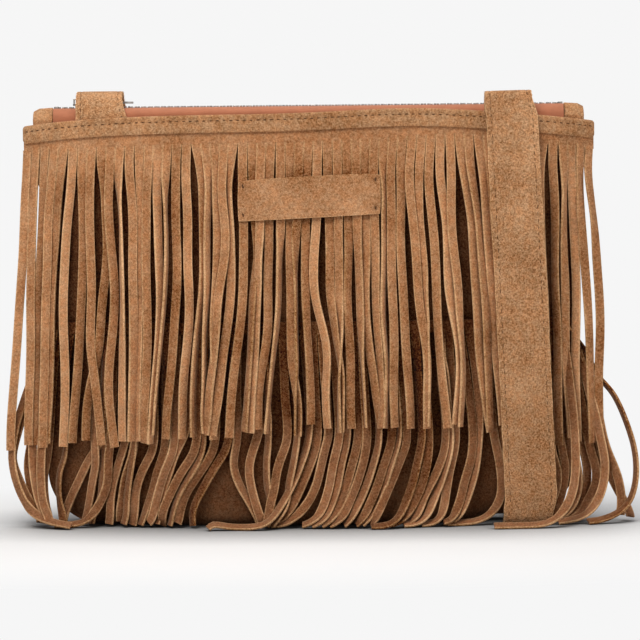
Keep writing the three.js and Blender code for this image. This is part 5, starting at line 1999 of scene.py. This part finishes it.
class BAG_OT_stage(bpy.types.Operator):
    """Makes the floor, the lights and the camera"""

    bl_idname = "bag.stage"
    bl_label = "Stage"

    def execute(self, context):
        scene = context.scene
        scene.view_settings.view_transform = "Standard"
        reach = 4000
        corners = [(-reach, -reach, 0), (reach, -reach, 0), (reach, reach, 0), (-reach, reach, 0)]
        floor = mesh_object("floor", corners, [(0, 1, 2, 3)], pale_floor(), False)
        world = bpy.data.worlds.new("studio")
        scene.world = world
        world.use_nodes = True
        tree = world.node_tree
        tree.nodes.clear()
        path = wire(tree, "ShaderNodeLightPath")
        seen = worked_out(
            tree, "MAXIMUM", path.outputs["Is Camera Ray"], path.outputs["Is Glossy Ray"]
        )
        fill = wire(tree, "ShaderNodeBackground", {"Color": (0.95, 0.97, 1.0, 1.0), "Strength": 0.24})
        white = (WHITE, WHITE, WHITE, 1.0)
        plain = wire(tree, "ShaderNodeBackground", {"Color": white, "Strength": 1.0})
        both = wire(tree, "ShaderNodeMixShader", {0: seen, 1: fill.outputs[0], 2: plain.outputs[0]})
        wire(tree, "ShaderNodeOutputWorld", {"Surface": both.outputs[0]})
        middle = (0.0, 0.0, 0.1)
        area_light("key", (-0.32, -0.68, 0.92), middle, (0.5, 0.5), 7.3, (1.0, 0.98, 0.95))
        area_light("top", (0.1, 0.1, 1.5), middle, (1.0, 1.0), 10.0)
        area_light("side", (1.2, -0.7, 0.6), middle, (0.7, 0.9), 4.0)
        aside, rise = PHOTO_MIDDLE - CAMERA_COLUMN, GROUND_ROW - PHOTO_MIDDLE
        aim = Vector((aside * PIXEL, -14.0, rise * PIXEL)) * MM
        distance, elevation, sensor = 1.6, math.radians(4.0), 36
        lens = bpy.data.cameras.new("camera")
        lens.lens = sensor * distance / (PHOTO_SIZE * PIXEL * MM)
        camera = link(bpy.data.objects.new("camera", lens))
        camera.location = aim + distance * Vector((0, -math.cos(elevation), math.sin(elevation)))
        facing = (aim - camera.location).to_track_quat("-Z", "Y").to_matrix()
        roll = Matrix.Rotation(math.radians(-0.6), 3, "Z")
        camera.rotation_euler = (facing @ roll).to_euler()
        scene.camera = camera
        return {"FINISHED"}


OPERATORS = (
    BAG_OT_stage,
    BAG_OT_pouch,
    BAG_OT_upper_fringe,
    BAG_OT_lower_fringe,
    BAG_OT_bands,
    BAG_OT_zip,
    BAG_OT_slider,
    BAG_OT_strap,
    BAG_OT_patch,
)
GROUPS = {"bag_fringe": FringeSizes, "bag_trim": TrimSizes, "bag_finishes": Finishes}


class BAG_PT_sidebar(bpy.types.Panel):
    """Lists the sizes and colours, and a button for each piece"""

    bl_label = "Fringed suede bag"
    bl_idname = "BAG_PT_sidebar"
    bl_space_type = "VIEW_3D"
    bl_region_type = "UI"
    bl_category = "Bag"

    def draw(self, context):
        for key, group in GROUPS.items():
            box = self.layout.box()
            for prop in group.__annotations__:
                box.prop(getattr(context.scene, key), prop)
        for operator in OPERATORS:
            self.layout.operator(operator.bl_idname)


def register():
    for group in (*GROUPS.values(), *OPERATORS, BAG_PT_sidebar):
        bpy.utils.register_class(group)
    for key, group in GROUPS.items():
        setattr(bpy.types.Scene, key, PointerProperty(type=group))


def unregister():
    for key in GROUPS:
        delattr(bpy.types.Scene, key)
    for group in (BAG_PT_sidebar, *reversed(OPERATORS), *GROUPS.values()):
        bpy.utils.unregister_class(group)


def main():
    register()
    bpy.ops.bag.stage()
    bpy.ops.bag.pouch()
    bpy.ops.bag.upper_fringe()
    bpy.ops.bag.lower_fringe()
    bpy.ops.bag.bands()
    bpy.ops.bag.zip()
    bpy.ops.bag.slider()
    bpy.ops.bag.strap()
    bpy.ops.bag.patch()


if __name__ == "__main__":
    main()
